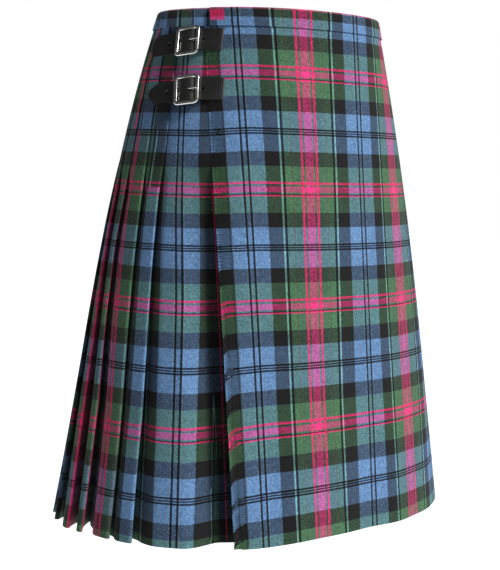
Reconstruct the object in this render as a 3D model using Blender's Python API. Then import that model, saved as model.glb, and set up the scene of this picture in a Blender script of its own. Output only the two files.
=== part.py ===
"""A knife-pleated kilt, held in the shape it has when it is worn.

Frame: +Z up, the front faces -Y, the wearer's right is -X. The origin is at the middle of the
waist, where the kilt is held. Lengths are in metres; MM turns millimetres into metres.

The garment is one long wrap. Seen from above and read backwards round the wearer it is: the under
apron in front, the plain panel at the right hip, the knife pleats round the back to the left hip,
and the over apron, which covers the front and ends in a fringed edge at the right hip.

A place on the kilt is given by a distance round the body, a height, and a depth under the outer
surface. "Round" is measured along the outer surface from the middle of the front, backwards past
the wearer's right hip, so the right hip, the back and the left hip follow each other.
"""

import math

import bmesh
import bpy
import numpy as np

MM = 0.001

# ---------------------------------------------------------------------------- driving sizes

TOP = 30 * MM                 # top edge, above the waist
HEM = -580 * MM               # hem, below the waist
FELL = -150 * MM              # the pleats are sewn down from the top to here
CLOTH = 1.2 * MM              # wall of the cloth
GAP = 0.3 * MM                # between pieces that touch
LAYER = CLOTH + 0.5 * MM      # from one folded layer to the next

PLEATS = 24
SEWN_STEP = 3.8 * MM          # how far a pleat's face lies under the next edge, where sewn
FREE_STEP = 8.5 * MM          # the same just below the sewing, where the pleats come free
HEM_STEP = 13.0 * MM          # the same at the hem, where they hang open
SEWN_TURN = 9.0 * MM          # cloth hidden behind a pleat's edge at the top
HEM_TURN = 40.0 * MM          # the same at the hem
UNEVEN_EDGE = 4.5 * MM        # how far pleat edges stray sideways at the hem
UNEVEN_CREST = 2.2 * MM       # how far pleat edges stray inwards at the hem
SPRING = 7.5 * MM             # how far the pleats at the back spring outwards at the hem

APRON_CLOTH_EDGE = 157 * MM   # where the over apron's woven edge ends, at the right hip
FRINGE_TIP = 176 * MM         # where its fringe ends
FRINGE_STRIP = 3.0 * MM
FRINGE_STRANDS = 160
UNDER_DEPTH = 2.2 * MM        # under apron's middle, below the band
UNDER_BAND_DEPTH = 6.0 * MM   # the same behind the waistband
VALLEY = 30 * MM              # how much deeper it lies beside the over apron's free edge at the hem
HEM_DROP = 5 * MM             # how much lower the hem hangs at the hips and the back than in front

BAND_HEIGHT = 20 * MM
BAND_LEG = 12 * MM            # how far the band reaches down inside
BAND = 1.0 * MM
BAND_GAP = 0.6 * MM           # between the band and the cloth that it binds
BAND_END = 168 * MM           # its end over the fringe, at the right hip
BAND_JOIN = 203.3 * MM        # where its two lengths meet, left of the middle of the front

# Sections of the outer surface. Between these heights each column follows one cubic.
# Columns: height, half_width, front_depth, back_depth, first_edge (round to the first pleat's
# edge at the right hip), apron_edge (the over apron's folded edge, left of the middle of the
# front) and under_edge (the under apron's free edge, left of the middle of the front).
SECTION_COLUMNS = (
    "height", "half_width", "front_depth", "back_depth", "first_edge", "apron_edge", "under_edge",
)
SECTIONS = np.array([
    (30, 141, 147, 92, 212, 215, 172),
    (-160, 194, 167, 123, 239.5, 245, 198),
    (-360, 232, 189, 142, 266, 285, 232),
    (-580, 264, 213, 180, 293.5, 330, 270),
]) * MM
FRONT_SQUARENESS = 2.33       # 2 is an ellipse; the aprons lie a little flatter across the front

# How much further back the first four edges hang than an even spacing puts them, from the hem up.
ASTRAY_HEIGHTS = np.array([-580, -430, -340, -250, -190, -130, -35, 5]) * MM
ASTRAY = np.array([
    (1.5, 1.1, 3.0, 4.2, 4.0, 0, 0, 0),
    (5.0, 3.0, 3.8, 4.8, 4.5, 4, 3.5, 0),
    (5.5, 4.0, 10.0, 13.0, 10.5, 9, 9, 0),
    (0, 0, 1.0, 5.0, 6.5, 7, 7, 0),
]) * MM

ROWS = np.array([30, 6, -30, -90, -150, -260, -360, -470, -580]) * MM    # heights of the cloth's points

STRAP = 1.6 * MM              # thickness of the straps' leather
STRAP_WIDTH = 27 * MM
STRAP_LEAVES = 168 * MM       # where it leaves the fringe for the buckle
STRAP_TIP_LENGTH = 14 * MM
CHAPE = 1.0 * MM
CHAPE_WIDTH = 24 * MM
CHAPE_LENGTH = 27 * MM
HOLES = (19.6 * MM, 4.6 * MM, -11.6 * MM, -28.2 * MM)    # forwards of the buckle's middle bar
HOLE_RADIUS = 2.2 * MM

BUCKLE_WIDTH = 32.5 * MM      # along the strap, outside
BUCKLE_HEIGHT = 36.5 * MM
BUCKLE_TURN = math.radians(8)  # its front bar is turned upwards
BAR_WIDTH = 4.0 * MM
BAR_THICKNESS = 2.6 * MM
BUCKLE_CORNER = 6.0 * MM
MIDDLE_BAR = 1.1 * MM         # radius
# Heights of the buckle's bars over the outer surface at its middle.
FRONT_BAR_LIFT = 4.4 * MM
MIDDLE_BAR_LIFT = 3.6 * MM
BACK_BAR_LIFT = 6.0 * MM
PRONG_WIDTH = 2.4 * MM
PRONG = 1.2 * MM

# The straps at the right hip: the height of each buckle's middle, how far round the buckle's middle
# bar, the strap's sewn end and its tip lie, and the shape of the tip.
STRAPS = {
    "upper": {
        "height": -9.2 * MM, "buckle": 197.5 * MM, "start": 153 * MM, "end": 262 * MM, "tip": "round",
    },
    "lower": {
        "height": -66.6 * MM, "buckle": 200.5 * MM, "start": 156 * MM, "end": 265.5 * MM, "tip": "pointed",
    },
}
TAIL_DROP = 0.03              # how fast a strap's tail runs downwards

# Along a strap's tip: (share of the tip's length, share of the strap's width).
TIPS = {
    "round": ((0.35, 0.95), (0.7, 0.74), (0.9, 0.48), (1.0, 0.2)),
    "pointed": ((0.3, 0.86), (0.6, 0.62), (0.85, 0.34), (1.0, 0.08)),
}

FINISHES = {
    "tartan": {"Base Color": (0.10, 0.20, 0.30, 1), "Roughness": 0.9, "Metallic": 0.0},
    "tartan_band": {"Base Color": (0.08, 0.15, 0.32, 1), "Roughness": 0.9, "Metallic": 0.0},
    "fringe": {"Base Color": (0.22, 0.12, 0.18, 1), "Roughness": 0.9, "Metallic": 0.0},
    "leather": {"Base Color": (0.015, 0.014, 0.013, 1), "Roughness": 0.5, "Metallic": 0.0},
    "silver": {"Base Color": (0.75, 0.74, 0.72, 1), "Roughness": 0.2, "Metallic": 1.0},
}


# ---------------------------------------------------------------------------- the outer surface

def column(name, z):
    """The named column of SECTIONS at height z, on the cubic through its four rows."""
    heights = SECTIONS[:, 0]
    values = SECTIONS[:, SECTION_COLUMNS.index(name)]
    return np.polyval(np.polyfit(heights, values, 3), z)


def ring(z):
    """The outer surface's outline at height z: points, and each one's distance round.

    An angle runs from the middle of the front past the right hip. x is half_width times its
    sine and y is depth times its cosine, with a power that squares the front half.
    """
    angle = np.linspace(0, 2 * math.pi, 1441)
    sine, cosine = np.sin(angle), np.cos(angle)
    front = cosine > 0
    power = np.where(front, 2 / FRONT_SQUARENESS, 1.0)
    depth = np.where(front, column("front_depth", z), column("back_depth", z))
    x = -column("half_width", z) * np.sign(sine) * np.abs(sine) ** power
    y = -depth * np.sign(cosine) * np.abs(cosine) ** power
    points = np.stack([x, y], axis=1)
    steps = np.hypot(*np.diff(points, axis=0).T)
    return points, np.concatenate([[0], np.cumsum(steps)])


def girth(z):
    """The distance once round the outer surface at height z."""
    return ring(z)[1][-1]


def smooth(share):
    """Rises from 0 to 1 with the share, level at both ends."""
    share = np.clip(share, 0, 1)
    return share * share * (3 - 2 * share)


def hem_drop(rounds, z):
    """How much lower the cloth hangs at the hips and the back, growing with the square of the
    distance below the sewn part."""
    total = girth(z)
    r = np.mod(rounds, total)
    behind = smooth((r - 60 * MM) / (90 * MM)) * smooth((total - 250 * MM - r) / (150 * MM))
    return HEM_DROP * behind * np.clip((FELL - z) / (FELL - HEM), 0, 1) ** 2


def place(rounds, z, depths):
    """Points at the given distances round and depths under the outer surface, at height z.

    Each is the outline's point plus its inward normal times the depth, lowered by hem_drop.
    """
    points, distance = ring(z)
    total = distance[-1]
    rounds = np.asarray(rounds, float)

    def at(r):
        r = np.mod(r, total)
        return np.stack([np.interp(r, distance, points[:, k]) for k in (0, 1)], axis=-1)

    reach = 1.5 * MM
    ahead = at(rounds + reach) - at(rounds - reach)
    ahead /= np.linalg.norm(ahead, axis=-1, keepdims=True)
    inward = np.stack([ahead[..., 1], -ahead[..., 0]], axis=-1)
    flat = at(rounds) + inward * np.asarray(depths, float)[..., None]
    return np.concatenate([flat, (z - hem_drop(rounds, z))[..., None]], axis=-1)


def local_axes(round_, z):
    """The surface point there, and unit vectors forwards round the body, up it and outwards."""
    step = 2 * MM
    here = place([round_], z, [0])[0]
    forward = place([round_ - step], z, [0])[0] - place([round_ + step], z, [0])[0]
    up = place([round_], z + step, [0])[0] - place([round_], z - step, [0])[0]
    forward /= np.linalg.norm(forward)
    up -= forward * up.dot(forward)
    up /= np.linalg.norm(up)
    return here, forward, up, np.cross(forward, up)


# ---------------------------------------------------------------------------- meshes

def finish(name):
    """One Principled material for each finish, made once."""
    material = bpy.data.materials.get(name)
    if material is None:
        material = bpy.data.materials.new(name)
        material.use_nodes = True
        shader = material.node_tree.nodes["Principled BSDF"]
        for socket, value in FINISHES[name].items():
            shader.inputs[socket].default_value = value
    return material


def add_mesh(name, points, faces, finish_name):
    """An object of these points and faces, with its normals turned outwards."""
    mesh = bpy.data.meshes.new(name)
    mesh.from_pydata([tuple(p) for p in points], [], faces)
    builder = bmesh.new()
    builder.from_mesh(mesh)
    bmesh.ops.recalc_face_normals(builder, faces=builder.faces)
    builder.to_mesh(mesh)
    builder.free()
    mesh.materials.append(finish(finish_name))
    piece = bpy.data.objects.new(name, mesh)
    bpy.context.scene.collection.objects.link(piece)
    return piece


def unit(vectors):
    return vectors / np.maximum(np.linalg.norm(vectors, axis=-1, keepdims=True), 1e-12)


def wall(name, middle, thickness, finish_name):
    """A closed wall round a sheet of middle points, shaped (columns, rows, 3).

    Each point moves half the thickness both ways along the mean normal of the facets round it,
    lengthened at a fold so that both sides of the fold keep their thickness.
    """
    columns, rows, _ = middle.shape
    facet = unit(np.cross(middle[1:, 1:] - middle[:-1, :-1], middle[:-1, 1:] - middle[1:, :-1]))
    facet = np.pad(facet, ((1, 1), (1, 1), (0, 0)), mode="edge")
    beside = np.stack([facet[:-1, :-1], facet[1:, :-1], facet[:-1, 1:], facet[1:, 1:]])
    normal = unit(beside.sum(axis=0))
    mitre = 1 / np.maximum((normal * beside).sum(axis=-1, keepdims=True).min(axis=0), 0.6)
    offset = normal * mitre * thickness / 2
    points = np.concatenate([(middle + offset).reshape(-1, 3), (middle - offset).reshape(-1, 3)])

    inner = columns * rows
    along = np.diff(middle[:, 0], axis=0)
    turn = middle[:-1, 0, 0] * along[:, 1] - middle[:-1, 0, 1] * along[:, 0]
    faces = []
    for i in range(columns - 1):
        for j in range(rows - 1):
            a, b, c, d = i * rows + j, (i + 1) * rows + j, (i + 1) * rows + j + 1, i * rows + j + 1
            # The same diagonal in space on every layer, so that layers folded together keep clear.
            halves = [(a, b, c), (a, c, d)] if turn[i] > 0 else [(a, b, d), (b, c, d)]
            faces += halves
            faces += [tuple(inner + k for k in reversed(half)) for half in halves]
    for i in range(columns - 1):
        for j in (0, rows - 1):
            a, b = i * rows + j, (i + 1) * rows + j
            faces.append((a, b, inner + b, inner + a))
    for j in range(rows - 1):
        for i in (0, columns - 1):
            a, b = i * rows + j, i * rows + j + 1
            faces.append((a, b, inner + b, inner + a))
    return add_mesh(name, points, faces, finish_name)


def sweep(name, path, across, width, thickness, sides, closed, finish_name):
    """A bar along a path. Its section is a rounded rectangle with the given number of sides.

    across gives the direction of the width at each point of the path.
    """
    path = np.asarray(path)
    ends = np.roll(path, -1, axis=0) - np.roll(path, 1, axis=0) if closed else np.gradient(path, axis=0)
    forward = unit(ends)
    across = np.broadcast_to(across, path.shape)
    across = unit(across - forward * (across * forward).sum(axis=1, keepdims=True))
    other = np.cross(forward, across)
    angle = (np.arange(sides) + 0.5) * 2 * math.pi / sides
    grow = 1 / math.cos(math.pi / sides)
    wide = np.cos(angle) * grow * width / 2
    thick = np.sin(angle) * grow * thickness / 2
    points = path[:, None] + across[:, None] * wide[:, None] + other[:, None] * thick[:, None]
    count = len(path)
    faces = []
    for i in range(count if closed else count - 1):
        for j in range(sides):
            k, n = (j + 1) % sides, (i + 1) % count
            faces.append((i * sides + j, i * sides + k, n * sides + k, n * sides + j))
    if not closed:
        faces.append(tuple(range(sides)))
        faces.append(tuple((count - 1) * sides + j for j in reversed(range(sides))))
    return add_mesh(name, points.reshape(-1, 3), faces, finish_name)


def combine(piece, other, operation):
    """Applies the other object to the piece as a Boolean modifier, and hides the other one."""
    modifier = piece.modifiers.new(other.name, "BOOLEAN")
    modifier.operation = operation
    modifier.object = other
    other.hide_render = True
    other.display_type = "WIRE"


# ---------------------------------------------------------------------------- pleats

def hang(z):
    """How open the pleats are: 0 down to the end of the sewing, 1 at the hem."""
    return np.clip((FELL - z) / (FELL - HEM), 0, 1) ** 1.4


def turn_in(z):
    """The width of cloth turned in behind a pleat's edge."""
    return SEWN_TURN + (HEM_TURN - SEWN_TURN) * ((TOP - z) / (TOP - HEM)) ** 1.3


def step_in(z):
    """How far a pleat's face lies under the next pleat's edge."""
    free = smooth((FELL - z) / (45 * MM))
    return SEWN_STEP + (FREE_STEP - SEWN_STEP) * free + (HEM_STEP - FREE_STEP) * hang(z)


def edge_round(k, z):
    """Where pleat k's edge lies. Pleat 0 is at the right hip; k = PLEATS is the over apron's edge."""
    first = column("first_edge", z)
    last = girth(z) - column("apron_edge", z)
    stray = UNEVEN_EDGE * math.sin(2.4 + 2.6 * k) * hang(z)
    astray = np.interp(z, ASTRAY_HEIGHTS, ASTRAY[k]) if k < len(ASTRAY) else 0
    return first + (last - first) * k / PLEATS + stray + astray


def crest(k, z):
    """The depth of the middle of the cloth at pleat k's edge: less where the pleats spring out."""
    loose = 0.5 + 0.5 * math.sin(0.4 + 1.7 * k)
    spring = SPRING * min(k / 3, (PLEATS - k) / 3, 1) * np.sqrt(hang(z))
    return CLOTH / 2 + UNEVEN_CREST * loose * hang(z) * (0 < k < PLEATS) - spring


def face_slope(k, z):
    """How fast pleat k's face goes deeper, from its own edge to where the next one covers it."""
    reveal = edge_round(k + 1, z) - edge_round(k, z)
    return (crest(k + 1, z) + step_in(z) - crest(k, z)) / reveal


def panel_slope(z):
    """The same for the plain panel, where the first pleat covers it."""
    return step_in(z) / (edge_round(1, z) - edge_round(0, z))


def inner_fold(k, z):
    """Where the cloth under pleat k turns: its distance round, and the deeper layer's depth."""
    slope = face_slope(k - 1, z) if k > 0 else panel_slope(z)
    return edge_round(k, z) + turn_in(z), crest(k, z) + step_in(z) + slope * turn_in(z)


def return_line(k, z):
    """The layer turned in behind pleat k's edge, from its inner fold out to the edge."""
    fold, deep = inner_fold(k, z)
    edge = edge_round(k, z)
    near, far = crest(k, z) + LAYER, deep - LAYER
    return [(fold, far), ((fold + edge) / 2, (near + far) / 2), (edge, near)]


def face_line(k, z):
    """Pleat k's face, from its edge to the inner fold under pleat k + 1."""
    edge, covered = edge_round(k, z), edge_round(k + 1, z)
    fold, deep = inner_fold(k + 1, z)
    top, under = crest(k, z), crest(k + 1, z) + step_in(z)
    return [
        (edge, top), ((edge + covered) / 2, (top + under) / 2), (covered, under),
        ((covered + fold) / 2, (under + deep) / 2), (fold, deep),
    ]


def lay_out(line):
    """The sheet whose row at height z follows line(z), a list of (distance round, depth)."""
    sheet = []
    for z in ROWS:
        rounds, depths = np.array(line(z)).T
        sheet.append(place(rounds, z, depths))
    return np.stack(sheet, axis=1)


def make_pleats(name, first, last):
    """The pleats from first up to last as one length of cloth."""
    def line(z):
        steps = []
        for k in range(first, last):
            steps += return_line(k, z) + face_line(k, z)
        return steps
    return wall(name, lay_out(line), CLOTH, "tartan")


# ---------------------------------------------------------------------------- aprons

def under_depth(z):
    """The depth of the under apron where the over apron covers it: more behind the waistband."""
    below = np.clip((TOP - BAND_HEIGHT - 4 * MM - z) / (26 * MM), 0, 1)
    return UNDER_BAND_DEPTH + (UNDER_DEPTH - UNDER_BAND_DEPTH) * below


def valley(r, z):
    """The extra depth of the under apron on both sides of the over apron's free edge."""
    open_ = np.clip((FELL - z) / (FELL - HEM), 0, 1) ** 0.6
    width = 25 * MM * (1 + open_)
    return VALLEY * open_ * smooth((r - 40 * MM) / (110 * MM)) * smooth((186 * MM + width - r) / width)


def panel_depth(r, z):
    """The depth of the plain panel between the fringe and the first pleat's edge.

    A cubic that starts level under the over apron and ends on the slope of the cloth under the
    first pleat where it is sewn, plus the valley, plus a dive of growing steepness under that pleat.
    """
    start, end = APRON_CLOTH_EDGE, edge_round(0, z)
    low, high = under_depth(z), crest(0, z) + SEWN_STEP
    t = (r - start) / (end - start)
    rise = (3 * t**2 - 2 * t**3) * (high - low) + (t**3 - t**2) * panel_slope(z) * (end - start)
    level = smooth(t / 0.4) * hang(z)
    dive = (step_in(z) - SEWN_STEP) * np.clip((t - 0.55) / 0.45, 0, 1) ** 2
    return low + rise * (1 - level) + (high - low) * t**4 * level + valley(r, z) + dive


def front_columns(z):
    """Distances round that the two aprons share, so that their flat facets lie parallel."""
    return np.linspace(-column("under_edge", z), APRON_CLOTH_EDGE, 20)


def make_under_apron():
    """From its free edge behind the over apron, across the front and the right hip's plain panel,
    to the inner fold under the first pleat."""
    def line(z):
        covered = front_columns(z)
        panel = np.linspace(APRON_CLOTH_EDGE, edge_round(0, z), 7)
        fold, deep = inner_fold(0, z)
        edge_depth = crest(0, z) + step_in(z)
        steps = [(r, under_depth(z) + valley(r, z)) for r in covered[:-1]]
        steps += [(r, panel_depth(r, z)) for r in panel]
        steps += [((panel[-1] + fold) / 2, (edge_depth + deep) / 2), (fold, deep)]
        return steps
    return wall("under_apron", lay_out(line), CLOTH, "tartan")


def make_over_apron():
    """From the inner fold behind its folded left edge, round that edge and across the front."""
    def line(z):
        edge = edge_round(PLEATS, z)
        beside = np.linspace(edge, girth(z) - column("under_edge", z), 5)
        across = np.concatenate([beside[:-1], girth(z) + front_columns(z)])
        return return_line(PLEATS, z) + [(r, CLOTH / 2) for r in across]
    return wall("over_apron", lay_out(line), CLOTH, "tartan")


def make_fringe():
    """The over apron's self fringe: a narrow strip beside its woven edge, with strands out of it.

    Strand i has four sides. Its root is the strip's full thickness, and its tip droops a little
    and by an uneven amount.
    """
    top = TOP - BAND_HEIGHT - 2 * MM
    pitch = (top - HEM - 1.5 * MM) / FRINGE_STRANDS
    inner_edge = APRON_CLOTH_EDGE + GAP
    roots = inner_edge + FRINGE_STRIP
    group = 9
    points, faces = [], []

    def add(r, z, depth):
        points.append(place([r], z, [depth])[0])
        return len(points) - 1

    tops = top - pitch * np.arange(FRINGE_STRANDS)
    front, back = [], []
    inner_front, inner_back = {}, {}
    for i, z in enumerate(tops):
        low = z - pitch * 0.55
        length = (FRINGE_TIP - roots) * (0.9 + 0.1 * math.sin(2.3 * i))
        droop = (0.5 + 0.4 * math.sin(1.3 * i + 0.6)) * MM
        root = [add(roots, z, 0), add(roots, low, 0), add(roots, z, CLOTH), add(roots, low, CLOTH)]
        tip = [
            add(roots + length, z - droop, 0.1 * MM), add(roots + length, low - droop, 0.1 * MM),
            add(roots + length, z - droop, 0.9 * MM), add(roots + length, low - droop, 0.9 * MM),
        ]
        sides = ((0, 1), (1, 3), (3, 2), (2, 0))
        faces += [(root[a], root[b], tip[b], tip[a]) for a, b in sides]
        faces.append((tip[0], tip[1], tip[3], tip[2]))
        front += root[:2]
        back += root[2:]
        if i % group == 0 or i == FRINGE_STRANDS - 1:
            at = z if i % group == 0 else low
            inner_front[i], inner_back[i] = add(inner_edge, at, 0), add(inner_edge, at, CLOTH)
    for i in range(FRINGE_STRANDS - 1):
        faces.append((front[2 * i + 1], front[2 * i + 2], back[2 * i + 2], back[2 * i + 1]))
    marks = sorted(inner_front)
    for start, stop in zip(marks[:-1], marks[1:]):
        first, last = 2 * start, 2 * stop + (1 if stop == marks[-1] else 0)
        halfway = (first + last) // 2
        for side, inner in ((front, inner_front), (back, inner_back)):
            faces += [(inner[start], side[k], side[k + 1]) for k in range(first, halfway)]
            faces.append((inner[start], side[halfway], inner[stop]))
            faces += [(inner[stop], side[k], side[k + 1]) for k in range(halfway, last)]
        faces.append((inner_front[start], inner_front[stop], inner_back[stop], inner_back[start]))
    faces.append((inner_front[0], front[0], back[0], inner_back[0]))
    faces.append((inner_front[marks[-1]], front[-1], back[-1], inner_back[marks[-1]]))
    return add_mesh("apron_fringe", points, faces, "fringe")


# ---------------------------------------------------------------------------- waistband

def make_band(name, rounds_at, outer_depth, inner_depth):
    """A strip folded over the top edge: down the outside by the band's height, and down inside.

    rounds_at(z) gives its columns, which lie on those of the cloth that it binds.
    """
    above = TOP + BAND_GAP + BAND
    outer = (TOP - BAND_HEIGHT, (TOP - BAND_HEIGHT + above) / 2, above)
    inner = (above, TOP - BAND_LEG)
    sheet = []
    for z, depth in [(z, outer_depth) for z in outer] + [(z, inner_depth) for z in inner]:
        rounds = rounds_at(z)
        sheet.append(place(rounds, z, depth(rounds)))
    return wall(name, np.stack(sheet, axis=1), BAND, "tartan_band")


def make_waistband():
    """Two lengths: one on the over apron, and one round the pleats and the under apron."""
    beside = (CLOTH + BAND) / 2 + BAND_GAP
    over, over_inner = CLOTH / 2 - beside, CLOTH / 2 + beside
    under, under_inner = UNDER_BAND_DEPTH - beside, UNDER_BAND_DEPTH + beside
    rise_starts, rise_ends = BAND_END + 12 * MM, column("first_edge", TOP) - 4 * MM

    def over_columns(z):
        return np.concatenate([[-BAND_JOIN, -0.5 * (BAND_JOIN - GAP + column("under_edge", z))],
                               front_columns(z), [BAND_END]])

    def round_columns(z):
        panel = np.linspace(APRON_CLOTH_EDGE, edge_round(0, z), 6)
        edges = [edge_round(k, z) for k in range(1, PLEATS + 1)]
        return np.concatenate([front_columns(z), panel[1:], edges, [girth(z) - BAND_JOIN - GAP]])

    def round_outer(r):
        on_apron = np.where(r < APRON_CLOTH_EDGE, under, panel_depth(r, TOP) - beside)
        return on_apron + (over - on_apron) * np.clip((r - rise_starts) / (rise_ends - rise_starts), 0, 1)

    make_band("waistband_over", over_columns, lambda r: np.full(r.shape, over),
              lambda r: np.full(r.shape, over_inner))
    make_band("waistband_round", round_columns, round_outer, lambda r: np.full(r.shape, under_inner))


# ---------------------------------------------------------------------------- straps and buckles

class Hip:
    """Places round one buckle: out(u, v, w) is a point u forwards, v up and w out from its middle,
    in the buckle's own flat frame, which is turned a little, and on(r, v, h, lift) is a point over
    the outer surface at the buckle's height plus lift."""

    def __init__(self, height, buckle):
        self.height, self.buckle = height, buckle
        here, forward, up, outward = local_axes(buckle, height)
        cosine, sine = math.cos(BUCKLE_TURN), math.sin(BUCKLE_TURN)
        self.axes = here, forward * cosine + up * sine, up * cosine - forward * sine, outward

    def out(self, u, v, w):
        here, forward, up, outward = self.axes
        return here + forward * u + up * v + outward * w

    def on(self, r, v, h, lift):
        here, _, up, outward = local_axes(r, self.height + lift)
        return here + up * v + outward * h

    def surface(self, u, v):
        """How high the outer surface lies in the flat frame at (u, v)."""
        here, _, _, outward = self.axes
        cosine, sine = math.cos(BUCKLE_TURN), math.sin(BUCKLE_TURN)
        beside = local_axes(self.buckle - u * cosine + v * sine, self.height + u * sine + v * cosine)[0]
        return (beside - here).dot(outward)


def strap_path(hip, start, end):
    """The strap's middle line as (place of a point v up from it, width share) pairs, up to its tip.

    It lies on the apron, runs straight under the front bar, over the middle bar and the chape
    round it, under the back bar, and its tail lies back along the pleats.
    """
    rest = GAP + STRAP / 2
    half_bar = BAR_THICKNESS / 2
    under_front = FRONT_BAR_LIFT - half_bar - GAP - STRAP / 2
    under_back = BACK_BAR_LIFT - half_bar - GAP - STRAP / 2
    over_middle = 7.4 * MM
    bar = BUCKLE_WIDTH / 2 - BAR_WIDTH / 2
    lift = (bar + 5 * MM) * math.sin(BUCKLE_TURN)
    stations = [(lambda v, r=r: hip.on(r, v, rest, lift), 1.0) for r in np.linspace(start, STRAP_LEAVES, 3)]
    # Columns: u forwards of the middle bar, w out from the surface there.
    in_buckle = (
        (bar + 5 * MM, under_front - 1.6 * MM), (bar + 2 * MM, under_front - 0.3 * MM),
        (bar - 2 * MM, under_front), (9.0 * MM, under_front + 2.0 * MM), (5.2 * MM, over_middle - 1.1 * MM),
        (0, over_middle), (-5.2 * MM, over_middle - 0.9 * MM), (-9.0 * MM, under_back + 1.6 * MM),
        (-bar + 2 * MM, under_back), (-bar - 2 * MM, under_back), (-bar - 5 * MM, under_back - 0.3 * MM),
    )
    stations += [(lambda v, u=u, w=w: hip.out(u, v, w), 1.0) for u, w in in_buckle]
    # Columns: how far behind the middle bar, how high over the outer surface.
    tail = [(25 * MM, 4.4 * MM), (31.5 * MM, 4.0 * MM), (38.5 * MM, 2.9 * MM), (45.5 * MM, 1.8 * MM)]
    tail.append((end - STRAP_TIP_LENGTH - hip.buckle, rest))
    for back, h in tail:
        stations.append((lambda v, back=back, h=h: hip.on(hip.buckle + back, v, h, tail_lift(back)), 1.0))
    return stations


def tail_lift(back):
    """The height of a strap's tail over its buckle's middle, that far behind the middle bar."""
    bar = BUCKLE_WIDTH / 2 - BAR_WIDTH / 2
    return -(bar + 5 * MM) * math.sin(BUCKLE_TURN) - (back - bar - 5 * MM) * TAIL_DROP


def make_strap(name, hip, start, end, tip):
    """The leather strap, with its row of holes; the prong stands in the second hole."""
    stations = strap_path(hip, start, end)
    for length, share in TIPS[tip]:
        back = end - STRAP_TIP_LENGTH * (1 - length) - hip.buckle
        spot = (lambda v, back=back: hip.on(hip.buckle + back, v, GAP + STRAP / 2, tail_lift(back)))
        stations.append((spot, share))
    across = np.linspace(-0.5, 0.5, 3) * STRAP_WIDTH
    middle = np.array([[spot(v * share) for v in across] for spot, share in stations])
    strap = wall("strap_" + name, middle, STRAP, "leather")
    for i, u in enumerate(HOLES):
        combine(strap, hole_cutter(f"hole_{name}_{i}", hip, u), "DIFFERENCE")
    return strap


def hole_cutter(name, hip, u):
    """A round cutter through the strap, u forwards of the middle bar."""
    path = [hip.out(u, 0, hip.surface(u, 0) + h) for h in (-0.2 * MM, 12 * MM)]
    return sweep(name, path, hip.axes[1], 2 * HOLE_RADIUS, 2 * HOLE_RADIUS, 10, False, "leather")


def make_chape(name, hip):
    """The leather tab that holds the buckle: two layers sewn to the pleats, looped round the
    middle bar, with a slot there for the prong."""
    lower, upper = 1.5 * GAP + CHAPE / 2, 2.5 * GAP + 1.5 * CHAPE
    loop = MIDDLE_BAR + GAP + CHAPE / 2
    across = np.linspace(-0.5, 0.5, 2) * CHAPE_WIDTH
    middle = []
    for u in np.linspace(-CHAPE_LENGTH, -9 * MM, 4):
        middle.append([hip.out(u, v, hip.surface(u, v) + lower) for v in across])
    for a in np.radians((250, 300, 345, 30, 75, 110)):
        middle.append([hip.out(loop * math.cos(a), v, MIDDLE_BAR_LIFT + loop * math.sin(a)) for v in across])
    middle.append([hip.out(-5 * MM, v, MIDDLE_BAR_LIFT + 0.4 * MM) for v in across])
    for u in np.linspace(-10 * MM, -CHAPE_LENGTH + 2 * MM, 4):
        middle.append([hip.out(u, v, hip.surface(u, v) + upper + 0.1 * MM) for v in across])
    middle = np.array(middle)
    chape = wall("chape_" + name, middle, CHAPE, "leather")
    slot = [hip.out(u, 0, MIDDLE_BAR_LIFT) for u in (-4.5 * MM, 5 * MM)]
    cutter = sweep("slot_" + name, slot, hip.axes[2], 5 * MM, 9 * MM, 4, False, "leather")
    combine(chape, cutter, "DIFFERENCE")
    return chape


def frame_lift(u):
    """The height of the buckle's frame: straight from the back bar to the front bar."""
    bar = BUCKLE_WIDTH / 2 - BAR_WIDTH / 2
    share = (u + bar) / (2 * bar)
    return BACK_BAR_LIFT + (FRONT_BAR_LIFT - BACK_BAR_LIFT) * share


def make_buckle(name, hip):
    """A rounded square frame with a middle bar across it, in one casting."""
    half_u, half_v = (BUCKLE_WIDTH - BAR_WIDTH) / 2, (BUCKLE_HEIGHT - BAR_WIDTH) / 2
    radius = BUCKLE_CORNER - BAR_WIDTH / 2
    path, across = [], []
    for corner, (cu, cv) in enumerate(((1, 1), (-1, 1), (-1, -1), (1, -1))):
        for step in range(4):
            angle = math.pi / 2 * (corner + step / 3)
            u = cu * (half_u - radius) + radius * math.cos(angle)
            v = cv * (half_v - radius) + radius * math.sin(angle)
            path.append(hip.out(u, v, frame_lift(u)))
            across.append(hip.axes[1] * math.cos(angle) + hip.axes[2] * math.sin(angle))
    frame = sweep("buckle_" + name, path, np.array(across), BAR_WIDTH, BAR_THICKNESS, 8, True, "silver")
    reach = half_v - 0.4 * MM
    dip = frame_lift(0) - MIDDLE_BAR_LIFT
    bar_line = ((-reach, dip), (-reach + 2.5 * MM, 0), (reach - 2.5 * MM, 0), (reach, dip))
    bar_path = [hip.out(0, v, MIDDLE_BAR_LIFT + rise) for v, rise in bar_line]
    bar = sweep("bar_" + name, bar_path, hip.axes[1], 2 * MIDDLE_BAR, 2 * MIDDLE_BAR, 8, False, "silver")
    combine(frame, bar, "UNION")
    return frame


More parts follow.
